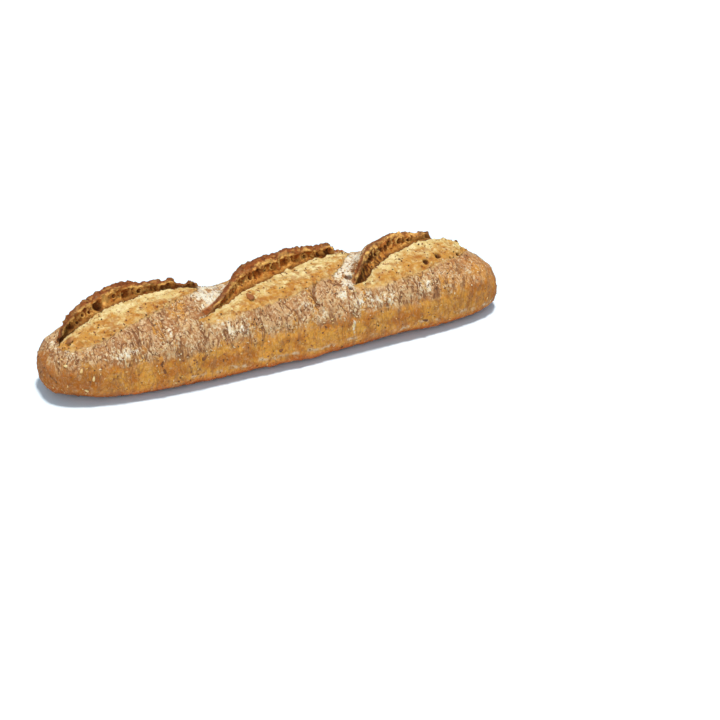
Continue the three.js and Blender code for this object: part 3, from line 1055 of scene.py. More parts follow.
    # what is listed
    pits: tuple[Pit, ...] = (
        Pit(91.3, 108, 4.4, 2.5),
        Pit(100.8, 98, 4.8, 2.8),
        Pit(114.8, 91, 3.6, 2.2),
        Pit(108.4, 101, 1.8, 1.0),
        Pit(41.5, 126, 3.2, 2.2),
        Pit(43.2, 111, 5.4, 1.0),
        Pit(-120.5, 108, 5.0, 0.6),
    )
    bubbles: tuple[Bubble, ...] = (
        Bubble(-96.5, 0.4, 7.4, 1.8),
        Bubble(-103, 0.4, 2.6, 1.2),
        Bubble(-107, 0.5, 2.4, 1.0),
        Bubble(-111, 0.3, 2.2, 0.9),
        Bubble(-86, 0.6, 3.0, 1.2),
        Bubble(-71, 0.55, 3.0, 1.3),
        Bubble(-22, 0.6, 2.6, 1.2),
        Bubble(-9, 0.55, 3.2, 1.4),
        Bubble(6, 0.6, 2.8, 1.2),
        Bubble(29, 0.5, 2.4, 1.1),
        Bubble(61, 0.5, 4.2, 2.2),
        Bubble(68, 0.75, 4.2, 2.4),
        Bubble(76, 0.65, 5.0, 2.6),
        Bubble(83.5, 0.6, 4.0, 2.2),
        Bubble(90, 0.5, 3.4, 1.8),
    )
    cracks: tuple[Crack, ...] = (
        Crack(((22.9, 110), (20.5, 120), (18.7, 127), (19.6, 138)), 1.1, 1.6),
        Crack(((63.7, 129), (62.6, 138), (61.2, 148), (60.1, 160)), 0.45, 0.8),
        Crack(((78.7, 124), (76.0, 131), (73.3, 141)), 0.4, 0.7),
        Crack(((-71.0, 138), (-69.5, 142), (-68.6, 150)), 0.4, 0.5),
        Crack(((-132.8, 160), (-131.8, 172), (-130.6, 184)), 0.5, 0.7),
    )
    flour: tuple[Patch, ...] = (
        Patch(-99, 144, 4, 6, 0.8),
        Patch(-90, 143, 4, 6, 0.75),
        Patch(-30, 141, 8, 8, 0.65),
        Patch(-20, 148, 5, 6, 0.5),
        Patch(14, 136, 6, 8, 0.45),
        Patch(34, 132, 6, 9, 0.5),
        Patch(51, 142, 9, 9, 0.62),
        Patch(64, 146, 5, 7, 0.55),
        Patch(86, 139, 10, 9, 0.48),
        Patch(-36, 92, 8, 26, 1.8),
        Patch(-42, 118, 8, 10, 0.9),
        Patch(48, 100, 6, 24, 1.8),
        Patch(47, 115, 6, 12, 1.3),
        Patch(41, 97, 5, 20, 1.6),
        Patch(-31, 64, 9, 16, 1.5),
        Patch(50, 70, 7, 18, 1.8),
        Patch(52, 81, 6, 14, 2.4),
        Patch(-62, 134, 12, 9, 0.4),
        Patch(20, 148, 14, 8, 0.25),
        Patch(112, 122, 8, 10, 0.3),
        Patch(-122, 92, 6, 30, 0.5),
        Patch(38.8, 171, 0.9, 9, 0.8),
    )

    def spot(self, x: float, degrees: float) -> Array:
        """The point of the surface at x and an angle round the section.

        Args:
            x: the place along the loaf.
            degrees: the angle round its section.

        Returns:
            The point.
        """
        table = np.linspace(0, 1, self.form.outline_steps)
        u = np.interp(x, self.form.places(table), table)
        return self.form.surface(np.array([u]), np.array([math.radians(degrees)]))[0][0]

    def _line_distance(self, points: Array, crack: Crack) -> Array:
        """The distance of each point from a crack's line.

        Args:
            points: where it is wanted, one row each.
            crack: the crack.

        Returns:
            The distances.
        """
        line = [self.spot(x, degrees) for x, degrees in crack.places]
        nearest = np.full(len(points), np.inf)
        for a, b in zip(line, line[1:]):
            t = np.clip((points - a) @ (b - a) / np.dot(b - a, b - a), 0, 1)
            nearest = np.minimum(nearest, np.linalg.norm(points - a - t[:, None] * (b - a), axis=1))
        return nearest

    def apply(self, points: Array, normals: Array, marks: Marks) -> tuple[Array, Looks]:
        """Raises and sinks the skin.

        Args:
            points: the skin's points.
            normals: their normals.
            marks: what lies at each point.

        Returns:
            The moved points and what the material needs to know of them.
        """
        warps = (Lot.WARP_X, Lot.WARP_Y, Lot.WARP_Z)
        warp = np.stack([Grain(lot).layers(points, self.warp_size, 2) for lot in warps], axis=-1)
        bent = points + warp * self.warp
        opened = np.clip(np.maximum(marks.bloom, marks.torn + marks.band), 0, 1)
        waves = Grain(Lot.WAVES).layers(points, self.wave_size, 2) * self.wave_height
        fine = self._crust(bent, marks) * (1 - opened)
        ear, pocket_shade, rib_highlight = self._ear(bent, points, marks)
        # hollow is the painted shade in the pits and cracks
        holes, hollow = self._holes(points)
        fissure = self._fissure(points)
        height = waves + fine + self._bloom(bent, points, marks) + ear + holes
        height -= fissure * self.fissure_depth
        height *= between(0.0, self.calm_height, points[:, 2])
        moved = points + normals * height[:, None]
        lifted = np.maximum(moved[:, 2], self.least_height)
        moved[:, 2] = np.where(points[:, 2] < FLOOR, 0, lifted)

        low = self._golden(points)
        left_end = between(*self.burnt_left, points[:, 0])
        right_end = self.burnt_right_share * between(*self.burnt_right, points[:, 0])
        looks = Looks(
            flour=self._flour(points, normals, marks, fine),
            # painted shade: pockets, bubbles, the right ear's darker stretch, pits, cracks and crevices
            painted_shade=np.clip(pocket_shade + hollow + self.crevice_shadow * marks.crevice, 0, 1),
            low=low,
            # the relief's height, for painted shade in sunk places and highlights on raised ones
            painted_relief_light=np.clip(0.5 + self.scorch_slope * (height - waves), 0, 1),
            seam=fissure,
            rib_highlight=rib_highlight,
            burnt=(left_end + right_end) * low,
        )
        return moved, looks

    def _golden(self, points: Array) -> Array:
        """How golden the crust is: most below its border, and partly at the near right end.

        Args:
            points: the skin's points.

        Returns:
            The share of the golden colours, from 0 to 1.
        """
        wave = Grain(Lot.BORDER_WAVES).layers(points, self.border_wave, 3)
        grain = Grain(Lot.BORDER_GRAIN).layers(points, self.border_grain, 3)
        border = self.golden_height + self.border_wave_height * wave
        far = between(*self.golden_far_side, points[:, 1])
        border += self.border_grain_height * grain - self.golden_far_drop * far
        low = between(self.border_reach, -self.border_reach, points[:, 2] - border)
        near = between(*self.golden_right_side, points[:, 1])
        right_end = self.golden_right * between(*self.golden_right_start, points[:, 0])
        return np.maximum(low, right_end * near)

    def _crust(self, bent: Array, marks: Marks) -> Array:
        """The wrinkles across the loaf, the rough skin and its blisters.

        Args:
            bent: the points, shifted by noise so that nothing runs straight.
            marks: what lies at each point.

        Returns:
            The height.
        """
        share = mix(self.wrinkle_far_share, 1, between(*self.wrinkle_side, bent[:, 1]))
        folds = np.abs(Grain(Lot.WRINKLES).value(bent, self.wrinkle_size))
        wrinkles = 1 - self.wrinkle_sharpness * folds
        wrinkles *= self.wrinkle_height * share * (1 - self.flap_calm * marks.flap)
        gaps = Grain(Lot.WRINKLE_GAPS).value(bent, self.wrinkle_gap)
        wrinkles *= between(*self.wrinkle_gap_ends, gaps)
        rough = Grain(Lot.ROUGH_SKIN).layers(bent, self.crust_size, 3) * self.crust_height
        first, _, label = Grain(Lot.BLISTERS).cells(bent, self.blister_size)
        dome = between(*self.blister_wall, first) * self.blister_height
        blisters = (label > self.blister_limit) * dome
        return wrinkles + rough + blisters

    def _bloom(self, bent: Array, points: Array, marks: Marks) -> Array:
        """The lumps and crumbs of the bloom, its scalloped foot and its chipped near edge.

        Args:
            bent: the points, shifted by noise so that nothing runs straight.
            points: the skin's points.
            marks: what lies at each point.

        Returns:
            The height.
        """
        lumps = Grain(Lot.LUMPS).layers(bent, self.lump_size, 3) * self.lump_height
        crumb = Grain(Lot.CRUMB).layers(points, self.crumb_size, 2) * self.crumb_height
        first, _, label = Grain(Lot.SCALLOPS).cells(bent, self.scallop_size)
        scallop = between(*self.scallop_wall, first) * (self.scallop_least + label)
        scallop *= hill(marks.across, *self.scallop_line)
        bloom = marks.bloom * (lumps + crumb + self.scallop_height * scallop)
        chips = Grain(Lot.LIP_CHIPS).layers(points, self.chip_size, 2) * self.chip_height
        return bloom + marks.lip * chips

    def _ear(self, bent: Array, points: Array, marks: Marks) -> tuple[Array, Array, Array]:
        """The ribs, pockets and bubbles of the torn faces and the crags of their rims.

        Args:
            bent: the points, shifted by noise so that nothing runs straight.
            points: the skin's points.
            marks: what lies at each point.

        Returns:
            The height, the painted shade in its pockets, caves, bubbles and on the left of the
            right ear's face, and the painted highlight on its ribs and bubble rims.
        """
        torn = np.clip(marks.torn, 0, 1)
        first, second, label = Grain(Lot.ARCHES).cells(bent, self.arch_size)
        wall = between(*self.arch_wall, second - first)
        wall_drop, own_drop = self.arch_top_drops
        limit = self.arch_top - wall_drop * wall - own_drop * label
        below = between(limit, limit - self.arch_fade, marks.rise)
        bowl = (1 - wall) * between(*self.arch_foot, marks.rise) * below
        bowl *= mix(self.arch_least, 1, label)
        first, second, small = Grain(Lot.CAVES).cells(bent, self.cave_size)
        chance = self.cave_limit - self.cave_limit_drop * between(*self.right_ear, points[:, 0])
        cave = between(*self.cave_wall, second - first)
        cave *= between(chance, chance + self.cave_fade, small)
        cave *= between(*self.cave_foot, marks.rise) * between(*self.cave_top, marks.rise)
        grit = Grain(Lot.GRIT).layers(points, self.grit_size, 3)
        sunk = bowl * self.arch_depth + cave * self.cave_depth
        height = torn * (grit * self.grit_height - sunk)
        # painted shade on the left part of the right ear's torn face, broken by its grit
        painted_face_shade = between(*self.gloom_start, points[:, 0]) * between(*self.gloom_end, points[:, 0])
        painted_face_shade *= self.painted_face_shade * between(*self.gloom_grit, grit)
        # painted shade in the arches' bowls and the caves
        pocket_shade = torn * (self.arch_shadow * bowl**2 + self.cave_shadow * cave + painted_face_shade)
        # painted highlight on the arches' walls
        rib_highlight = torn * wall * between(*self.rib_foot, marks.rise)
        for b in self.bubbles:
            off = np.hypot(points[:, 0] - b.x, self.face_height * (marks.rise - b.rise))
            off += self.face_height * (torn < self.least_torn)
            gap = np.linalg.norm(points - points[off.argmin()], axis=1) * 2 / b.across
            height += torn * self.bubble.height(gap, b.depth)
            # painted shade inside each bubble
            shadow = self.bubble_shadow * between(*self.bubble.shadow, gap)
            pocket_shade = np.maximum(pocket_shade, torn * shadow)
            # painted highlight round each bubble's rim
            glint = self.bubble_glint * hill(gap, self.bubble.rim_gap, self.bubble_glint_reach)
            rib_highlight = np.maximum(rib_highlight * between(*self.bubble_calm, gap), torn * glint)
        brim = Grain(Lot.BRIM).layers(bent, self.brim_size, 2) * self.brim_height
        height += marks.brim * (self.brim_lift + brim)
        crags = np.abs(Grain(Lot.CRAGS).layers(bent, self.crag_size, 3)) * 2 - self.crag_sink
        height += marks.band * crags * self.crag_height
        return height, pocket_shade, rib_highlight

    def _holes(self, points: Array) -> tuple[Array, Array]:
        """The pits and the cracks.

        Args:
            points: the skin's points.

        Returns:
            The height, below 0 in a hole, and the painted shade in the pits and cracks, from 0 to 1.
        """
        height = np.zeros(len(points))
        hollow = np.zeros(len(points))
        for p in self.pits:
            gap = np.linalg.norm(points - self.spot(p.x, p.degrees), axis=1) * 2 / p.across
            gap += Grain(Lot.PIT_EDGES).value(points, self.pit_noise) * self.pit_noise_height
            height += self.pit.height(gap, p.depth)
            # painted shade in the pit, darker for deeper pits
            dark = between(*self.pit_dark_depth, p.depth)
            hollow = np.maximum(hollow, between(*self.pit.shadow, gap) * dark)
        for c in self.cracks:
            gap = self._line_distance(points, c) / c.half_width
            gap += self.crack_noise_height * Grain(Lot.CRACK_SIDES).value(points, self.crack_noise)
            height += self.crack.height(gap, c.depth)
            # painted shade in the crack
            hollow = np.maximum(hollow, self.crack_shadow * between(*self.crack.shadow, gap))
        return height, hollow

    def _fissure(self, points: Array) -> Array:
        """The broken seam low on the near flank.

        Args:
            points: the skin's points.

        Returns:
            How open it is at each point, from 0 to 1.
        """
        wander = Grain(Lot.SEAM_ENDS).value(points, self.fissure_start_noise)
        along = points[:, 0] + self.fissure_start_wander * wander
        side = between(*self.fissure_side, points[:, 1]) * between(*self.fissure_start, along)
        wave = self.fissure_wave_height * Grain(Lot.SEAM_LEVEL).layers(points, self.fissure_wave, 3)
        level = points[:, 2] - self.fissure_height - wave
        gaps = Grain(Lot.SEAM_GAPS).value(points, self.fissure_gaps)
        broken = between(*self.fissure_gap_ends, gaps)
        return hill(level, 0, self.fissure_reach) * side * broken

    def _flour(self, points: Array, normals: Array, marks: Marks, fine: Array) -> Array:
        """How much flour lies at each point: on the crown, and most in the listed patches.

        Args:
            points: the skin's points.
            normals: their normals.
            marks: what lies at each point.
            fine: the fine relief of the crust, which holds flour where it stands up.

        Returns:
            The flour, where 1 covers the crust.
        """
        level = between(*self.flour_level, normals[:, 2])
        flour = self.flour_all_over * level * between(*self.flour_low_end, points[:, 2])
        for p in self.flour:
            middle = self.spot(p.x, p.degrees)
            round_reach = math.radians(p.spread) * self.form.width / 2
            gap = (points - middle) / np.array([p.reach, round_reach, round_reach])
            flour += p.strength * np.exp(-(gap**2).sum(1))
        flour *= self.flour_least + Grain(Lot.FLOUR).layers(points, self.flour_size, 3) + fine
        flour *= 1 - np.clip(marks.bloom + marks.torn + marks.band, 0, 1)
        return np.clip(flour, 0, self.flour_limit)


# ---------------------------------------------------------------- finishes

LUMPS_PER_SIZE = 0.5  # noise of scale 1 has lumps about half a metre wide
GLOW_SPREAD = (1.0, 0.55, 0.25)
GLOW_REACH = 0.0012


def paint(red: int, green: int, blue: int) -> Colour:
    """A colour as it looks on screen, from 0 to 255, as the linear one that the shader takes.

    Args:
        red: the red part.
        green: the green part.
        blue: the blue part.

    Returns:
        The linear colour, with full cover.
    """
    parts = [v / 255 for v in (red, green, blue)]
    linear = [p / 12.92 if p <= 0.04045 else ((p + 0.055) / 1.055) ** 2.4 for p in parts]
    return (*linear, 1.0)


@dataclass(frozen=True)
class Texture:
    """Noise of a material: the size of its lumps, its detail, its twist and its stretch."""

    size: float
    detail: float = 3
    twist: float = 0.0
    stretch: Triple | None = None


@dataclass(frozen=True)
class Ramp:
    """A smooth way from start, at low, to end, at high; low may be above high."""

    low: float
    high: float
    start: float = 0.0
    end: float = 1.0


@dataclass(frozen=True)
class Flecks:
    """Noise and the ramp that makes flecks or clouds of it."""

    texture: Texture
    ramp: Ramp


class Shade:
    """Builds the nodes of one material, with sizes in millimetres."""

    def __init__(self, name: str) -> None:
        """Starts a material with an empty graph.

        Args:
            name: the material's name.
        """
        self.material = bpy.data.materials.new(name)
        self.material.use_nodes = True
        self.tree = self.material.node_tree
        self.tree.nodes.clear()
        self.place = self.tree.nodes.new("ShaderNodeTexCoord").outputs["Object"]

    def _plug(self, node: bpy.types.Node, inputs: dict[str | int, object]) -> None:
        """Fills the inputs of a node.

        Args:
            node: the node.
            inputs: for each input the socket that it is linked to, or its constant.
        """
        for key, value in inputs.items():
            if isinstance(value, Socket):
                self.tree.links.new(value, node.inputs[key])
            else:
                node.inputs[key].default_value = value

    def mark(self, name: str) -> Socket:
        """A number stored at each point of the piece.

        Args:
            name: the number's name.

        Returns:
            The socket that gives it.
        """
        node = self.tree.nodes.new("ShaderNodeAttribute")
        node.attribute_name = name
        return node.outputs["Fac"]

    def noise(self, texture: Texture) -> Socket:
        """Noise over the piece.

        Args:
            texture: what the noise is like.

        Returns:
            The socket that gives it, from 0 to 1.
        """
        place = self.place
        if texture.stretch is not None:
            mapping = self.tree.nodes.new("ShaderNodeMapping")
            scale = tuple(1 / stretch for stretch in texture.stretch)
            self._plug(mapping, {"Vector": place, "Scale": scale})
            place = mapping.outputs["Vector"]
        node = self.tree.nodes.new("ShaderNodeTexNoise")
        scale = LUMPS_PER_SIZE / (texture.size * MM)
        inputs = {"Vector": place, "Scale": scale, "Detail": texture.detail, "Distortion": texture.twist}
        self._plug(node, inputs)
        return node.outputs["Fac"]

    def fit(self, value: Socket, ramp: Ramp) -> Socket:
        """Sends a value through a ramp, which holds its ends.

        Args:
            value: the value.
            ramp: the ramp.

        Returns:
            The socket that gives the result.
        """
        node = self.tree.nodes.new("ShaderNodeMapRange")
        node.interpolation_type = "SMOOTHSTEP"
        self._plug(node, {"Value": value, "From Min": ramp.low, "From Max": ramp.high})
        self._plug(node, {"To Min": ramp.start, "To Max": ramp.end})
        return node.outputs["Result"]

    def flecks(self, flecks: Flecks) -> Socket:
        """Noise sent through its own ramp."""
        return self.fit(self.noise(flecks.texture), flecks.ramp)

    def line(self, value: Socket, middle: float, reach: float) -> Socket:
        """Thin lines where a value passes its middle.

        Args:
            value: the value.
            middle: its middle.
            reach: how far from the middle the lines have faded out.

        Returns:
            The socket that gives 1 on the lines and 0 off them.
        """
        off = self.maths("ABSOLUTE", self.maths("SUBTRACT", value, middle), 0.0)
        return self.fit(off, Ramp(reach, reach * 0.25))

    def maths(self, kind: str, a: object, b: object, clamp: bool = False) -> Socket:
        """One sum, such as SUBTRACT or MAXIMUM.

        Args:
            kind: the sum.
            a: the first number.
            b: the second number.
            clamp: whether the result is held between 0 and 1.

        Returns:
            The socket that gives the result.
        """
        node = self.tree.nodes.new("ShaderNodeMath")
        node.operation = kind
        node.use_clamp = clamp
        self._plug(node, {0: a, 1: b})
        return node.outputs[0]

    def add(self, a: object, b: object) -> Socket:
        """Two numbers added."""
        return self.maths("ADD", a, b)

    def times(self, a: object, b: object) -> Socket:
        """Two numbers multiplied."""
        return self.maths("MULTIPLY", a, b)

    def layers(self, base: object, *layers: tuple[object, object]) -> Socket:
        """Lays colours over a base, one after another.

        Args:
            base: the base colour.
            layers: each colour and how much of it shows, from 0 to 1.

        Returns:
            The socket that gives the colour.
        """
        for colour, share in layers:
            node = self.tree.nodes.new("ShaderNodeMix")
            node.data_type = "RGBA"
            self._plug(node, {"Factor": share, 6: base, 7: colour})
            base = node.outputs[2]
        return base

    def bump(self, height: Socket, depth: float, under: Socket | None = None) -> Socket:
        """A normal that follows fine relief of that depth.

        Args:
            height: the relief, from 0 to 1.
            depth: how deep it is in millimetres.
            under: the normal of the relief that it is laid over.

        Returns:
            The socket that gives the normal.
        """
        node = self.tree.nodes.new("ShaderNodeBump")
        self._plug(node, {"Strength": 1.0, "Distance": depth * MM, "Height": height})
        if under is not None:
            self._plug(node, {"Normal": under})
        return node.outputs["Normal"]

    def close(self, colour: object, rough: object, normal: Socket | None = None,
              shine: float = 0.3, glow: float = 0.0) -> bpy.types.Material:
        """Ends the graph with the surface itself.

        Args:
            colour: its colour.
            rough: its roughness.
            normal: the normal of its fine relief.
            shine: the level of its highlights.
            glow: how much light passes below the surface.

        Returns:
            The finished material.
        """
        shader = self.tree.nodes.new("ShaderNodeBsdfPrincipled")
        inputs = {"Base Color": colour, "Roughness": rough, "Specular IOR Level": shine}
        self._plug(shader, inputs)
        if glow > 0:
            self._plug(shader, {"Subsurface Weight": glow})
            self._plug(shader, {"Subsurface Radius": GLOW_SPREAD, "Subsurface Scale": GLOW_REACH})
        if normal is not None:
            self._plug(shader, {"Normal": normal})
        output = self.tree.nodes.new("ShaderNodeOutputMaterial")
        self._plug(output, {"Surface": shader.outputs["BSDF"]})
        return self.material


@dataclass(frozen=True)
class CrustColours:
    """The colours of the baked and floured crust, the bloom and the torn ears."""

    tan: Colour = paint(186, 132, 84)
    beige: Colour = paint(204, 158, 110)
    # umber: streaks, and painted shade beside the folds
    umber: Colour = paint(160, 106, 66)
    golden: Colour = paint(200, 136, 60)
    # brown: dark chips, and painted shade in the crust's sunk relief
    brown: Colour = paint(152, 94, 52)
    # dark lines: bare crust in cracks, partly painted shade beside the wrinkles
    crack: Colour = paint(116, 72, 44)
    # pale flakes, also used as painted highlights beside the wrinkles and in specks
    flake_and_highlight: Colour = paint(228, 196, 156)
    dust: Colour = paint(216, 180, 130)
    flour: Colour = paint(238, 226, 202)
    low_gold: Colour = paint(222, 151, 60)
    low_brown: Colour = paint(190, 110, 38)
    low_deep: Colour = paint(160, 82, 24)
    low_edge: Colour = paint(184, 90, 30)
    base: Colour = paint(150, 88, 44)
    cream: Colour = paint(216, 184, 120)
    # pale crumb, also used as painted highlights on the bloom's crumbs
    cream_light: Colour = paint(240, 216, 160)
    bloom_gold: Colour = paint(198, 138, 62)
    # bloom_deep: streaks and specks, and painted shade in the sunk bloom
    bloom_deep: Colour = paint(166, 98, 38)
    bloom_lip: Colour = paint(222, 180, 116)
    torn_low: Colour = paint(200, 134, 60)
    torn_mid: Colour = paint(176, 96, 32)
    torn_high: Colour = paint(140, 68, 26)
    torn_dark: Colour = paint(110, 52, 16)
    # painted highlight: the brim, rib walls, bubble rims, flecks on the torn face, raised crags of the rim
    brim: Colour = paint(246, 188, 104)
    band: Colour = paint(156, 84, 38)
    band_dark: Colour = paint(116, 58, 24)
    # painted highlight flecks on the burnt rim
    band_grey_highlight: Colour = paint(176, 126, 82)
    outline: Colour = paint(120, 70, 40)
    # painted shade laid in ear crevices, pockets, bubbles, pits and cracks
    hollow: Colour = paint(76, 36, 14)


@dataclass(frozen=True)
class CrustFinish:
    """The crust's material: textures, then the ramps and flecks that lay each colour."""

    colours: CrustColours = CrustColours()
    wrinkle: Texture = Texture(1.9, 4, 0.7, (1.0, 2.5, 2.5))
    fold: Texture = Texture(4.0, 4, 0.8, (1.0, 3.4, 3.4))
    streak: Texture = Texture(3.4, 4, 0.4, (1.0, 2.6, 2.6))
    chip: Texture = Texture(0.72, 4, 0.4, (1.0, 1.3, 1.3))
    grain: Texture = Texture(1.1, 3)
    fine_grain: Texture = Texture(0.5, 5)
    fold_depth: float = 1.6
    grain_depth: float = 0.6
    fine_depth: float = 0.4
    rough: Flecks = Flecks(Texture(4), Ramp(0.3, 0.7, 0.68, 0.9))
    shine: float = 0.12
    glow: float = 0.08

    # the crust
    umber_streaks: Ramp = Ramp(0.5, 0.38, 0, 0.7)
    beige_streaks: Ramp = Ramp(0.5, 0.62, 0, 0.9)
    golden_flecks: Flecks = Flecks(Texture(5, 4, 0.0, (1.0, 2.4, 2.4)), Ramp(0.52, 0.62))
    low_clouds: Flecks = Flecks(Texture(5, 5), Ramp(0.42, 0.66))
    low_flecks: Flecks = Flecks(Texture(1.1, 4), Ramp(0.5, 0.66, 0, 0.7))
    low_spots: Flecks = Flecks(Texture(1.7, 3, 0.8), Ramp(0.6, 0.74, 0, 0.6))
    burnt_share: float = 0.8
    # painted shade in the crust's sunk relief
    sunk_painted_shade: Ramp = Ramp(0.44, 0.22, 0, 0.4)
    high: Ramp = Ramp(1.0, 0.0, 0.3, 1.0)
    dust_grain: Flecks = Flecks(Texture(0.75, 4, 0.4), Ramp(0.3, 0.7, -0.42, 0.42))
    dust_share: Ramp = Ramp(0.1, 0.6, 0, 0.8)
    flour_share: Ramp = Ramp(0.5, 1.05, 0, 0.92)
    bare: Ramp = Ramp(0.7, 1.2, 1.0, 0.35)
    light_chips: Ramp = Ramp(0.545, 0.615)
    light_dust: Ramp = Ramp(-0.1, 0.7, 0.32, 0.85)
    # painted highlight along one side of each wrinkle
    painted_highlight_line: Pair = (0.54, 0.03)
    dark_chips: Ramp = Ramp(0.46, 0.37, 0, 0.7)
    # dark lines in the wrinkles and folds: bare crust in the cracks, partly painted shade beside them
    wrinkle_line: Pair = (0.497, 0.024)
    fold_line: Pair = (0.505, 0.024)
    line_gaps: Flecks = Flecks(Texture(2.6, 3), Ramp(0.38, 0.52, 0.1, 1.0))
    # painted shade along one side of each fold
    fold_shade_side: Ramp = Ramp(0.46, 0.5, 0, 0.5)
    fold_shade_end: Ramp = Ramp(0.51, 0.5)
    # pale flakes, partly painted highlights
    flake_and_highlight_specks: Flecks = Flecks(Texture(0.62, 2, 0.5), Ramp(0.68, 0.78, 0, 0.6))
    seam_specks: Flecks = Flecks(Texture(1.1, 4), Ramp(0.4, 0.56, 0, 0.9))

    # the bloom and the painted shade in hollows
    bloom_ragged: Flecks = Flecks(Texture(0.9, 4), Ramp(0.3, 0.7, -0.3, 0.3))
    bloom_share: Ramp = Ramp(0.35, 0.65)
    bloom_lumps: Flecks = Flecks(Texture(2.8, 5), Ramp(0.3, 0.7, -0.4, 0.4))
    bloom_clouds: Flecks = Flecks(Texture(8, 3), Ramp(0.35, 0.65, -0.25, 0.25))
    cream_share: Ramp = Ramp(0.1, 0.9)
    cream_light_share: Ramp = Ramp(0.75, 1.25, 0, 0.7)
    bloom_streaks: Flecks = Flecks(Texture(1.3, 4, 0.4, (3.0, 1.0, 1.0)), Ramp(0.5, 0.64))
    near_edge: Ramp = Ramp(0.8, 0.1, 0.15, 0.65)
    crumbs: Flecks = Flecks(Texture(1.0, 5, 0.5), Ramp(0.48, 0.64))
    crumbs_share: Ramp = Ramp(0.0, 1.0, 0.2, 0.65)
    bloom_specks: Flecks = Flecks(Texture(0.8, 4, 0.7), Ramp(0.6, 0.72, 0, 0.7))
    # painted shade in the bloom's sunk relief
    bloom_sunk_shade: Ramp = Ramp(0.4, 0.08, 0, 0.55)
    lip_flecks: Flecks = Flecks(Texture(1.6, 4), Ramp(0.42, 0.6, 0.1, 0.9))
    painted_shade_share: Ramp = Ramp(0.12, 1.0, 0, 0.9)

    # the torn face and the rim
    rise_noise: Flecks = Flecks(Texture(1.8, 4), Ramp(0.3, 0.7, -0.35, 0.35))
    torn_mid_share: Ramp = Ramp(0.15, 0.65)
    torn_high_share: Ramp = Ramp(0.6, 1.0, 0, 0.8)
    torn_specks: Flecks = Flecks(Texture(1.0, 4, 0.4), Ramp(0.5, 0.64, 0, 0.85))
    torn_specks_share: Ramp = Ramp(0.1, 0.7, 0.45, 1.0)
    # painted highlight flecks on the torn face
    painted_highlight_flecks: Flecks = Flecks(Texture(1.3, 4, 0.6), Ramp(0.56, 0.68, 0, 0.65))
    band_dark_flecks: Flecks = Flecks(Texture(1.5, 4), Ramp(0.46, 0.62))
    # painted highlight flecks on the burnt rim
    band_grey_flecks: Flecks = Flecks(Texture(3.0, 4), Ramp(0.54, 0.66, 0, 0.55))
    # painted highlight on the rim's raised crags
    band_raised_highlight: Ramp = Ramp(0.7, 1.0, 0, 0.3)
    outline_share: float = 0.8
    # how strongly the ribs' painted highlight shows
    rib_share: float = 0.7
    brim_gaps: Flecks = Flecks(Texture(2.4, 4), Ramp(0.4, 0.58, 0.1, 1.0))

    def make(self) -> bpy.types.Material:
        """Builds the material.

        Returns:
            The material.
        """
        s, c = Shade("baked_crust"), self.colours
        wrinkle, fold = s.noise(self.wrinkle), s.noise(self.fold)
        bloom = s.fit(s.add(s.mark("bloom"), s.flecks(self.bloom_ragged)), self.bloom_share)
        colour = s.layers(self._crust(s, wrinkle, fold), (self._bloom(s), bloom))
        colour = s.layers(
            self._ear(s, colour),
            (c.bloom_lip, s.times(s.mark("lip"), s.flecks(self.lip_flecks))),
            # painted shade in ear crevices, pockets, bubbles, pits and cracks
            (c.hollow, s.fit(s.mark("painted_shade"), self.painted_shade_share)),
        )
        shut = s.maths("SUBTRACT", 1.0, s.mark("bloom"), clamp=True)
        normal = s.bump(s.noise(self.fine_grain), self.fine_depth)
        normal = s.bump(s.noise(self.grain), self.grain_depth, normal)
        normal = s.bump(s.times(s.add(wrinkle, fold), shut), self.fold_depth, normal)
        return s.close(colour, s.flecks(self.rough), normal, self.shine, self.glow)

    def _crust(self, s: Shade, wrinkle: Socket, fold: Socket) -> Socket:
        """The crust: cracked and floured above, golden low on its sides, with painted shade in its
        sunk relief and painted highlight and shade beside its wrinkles and folds.

        Args:
            s: the material.
            wrinkle: the noise of the wrinkles.
            fold: the noise of the larger folds.

        Returns:
            The socket that gives its colour.
        """
        c = self.colours
        streaks, chips = s.noise(self.streak), s.noise(self.chip)
        high = s.fit(s.mark("low"), self.high)
        bare = s.times(high, s.fit(s.mark("flour"), self.bare))
        dust = s.add(s.mark("flour"), s.flecks(self.dust_grain))
        # pale flakes on the chips, and a painted highlight along one side of each wrinkle
        light = s.maths("MAXIMUM", s.fit(chips, self.light_chips), s.line(wrinkle, *self.painted_highlight_line))
        light = s.times(s.times(light, high), s.fit(dust, self.light_dust))
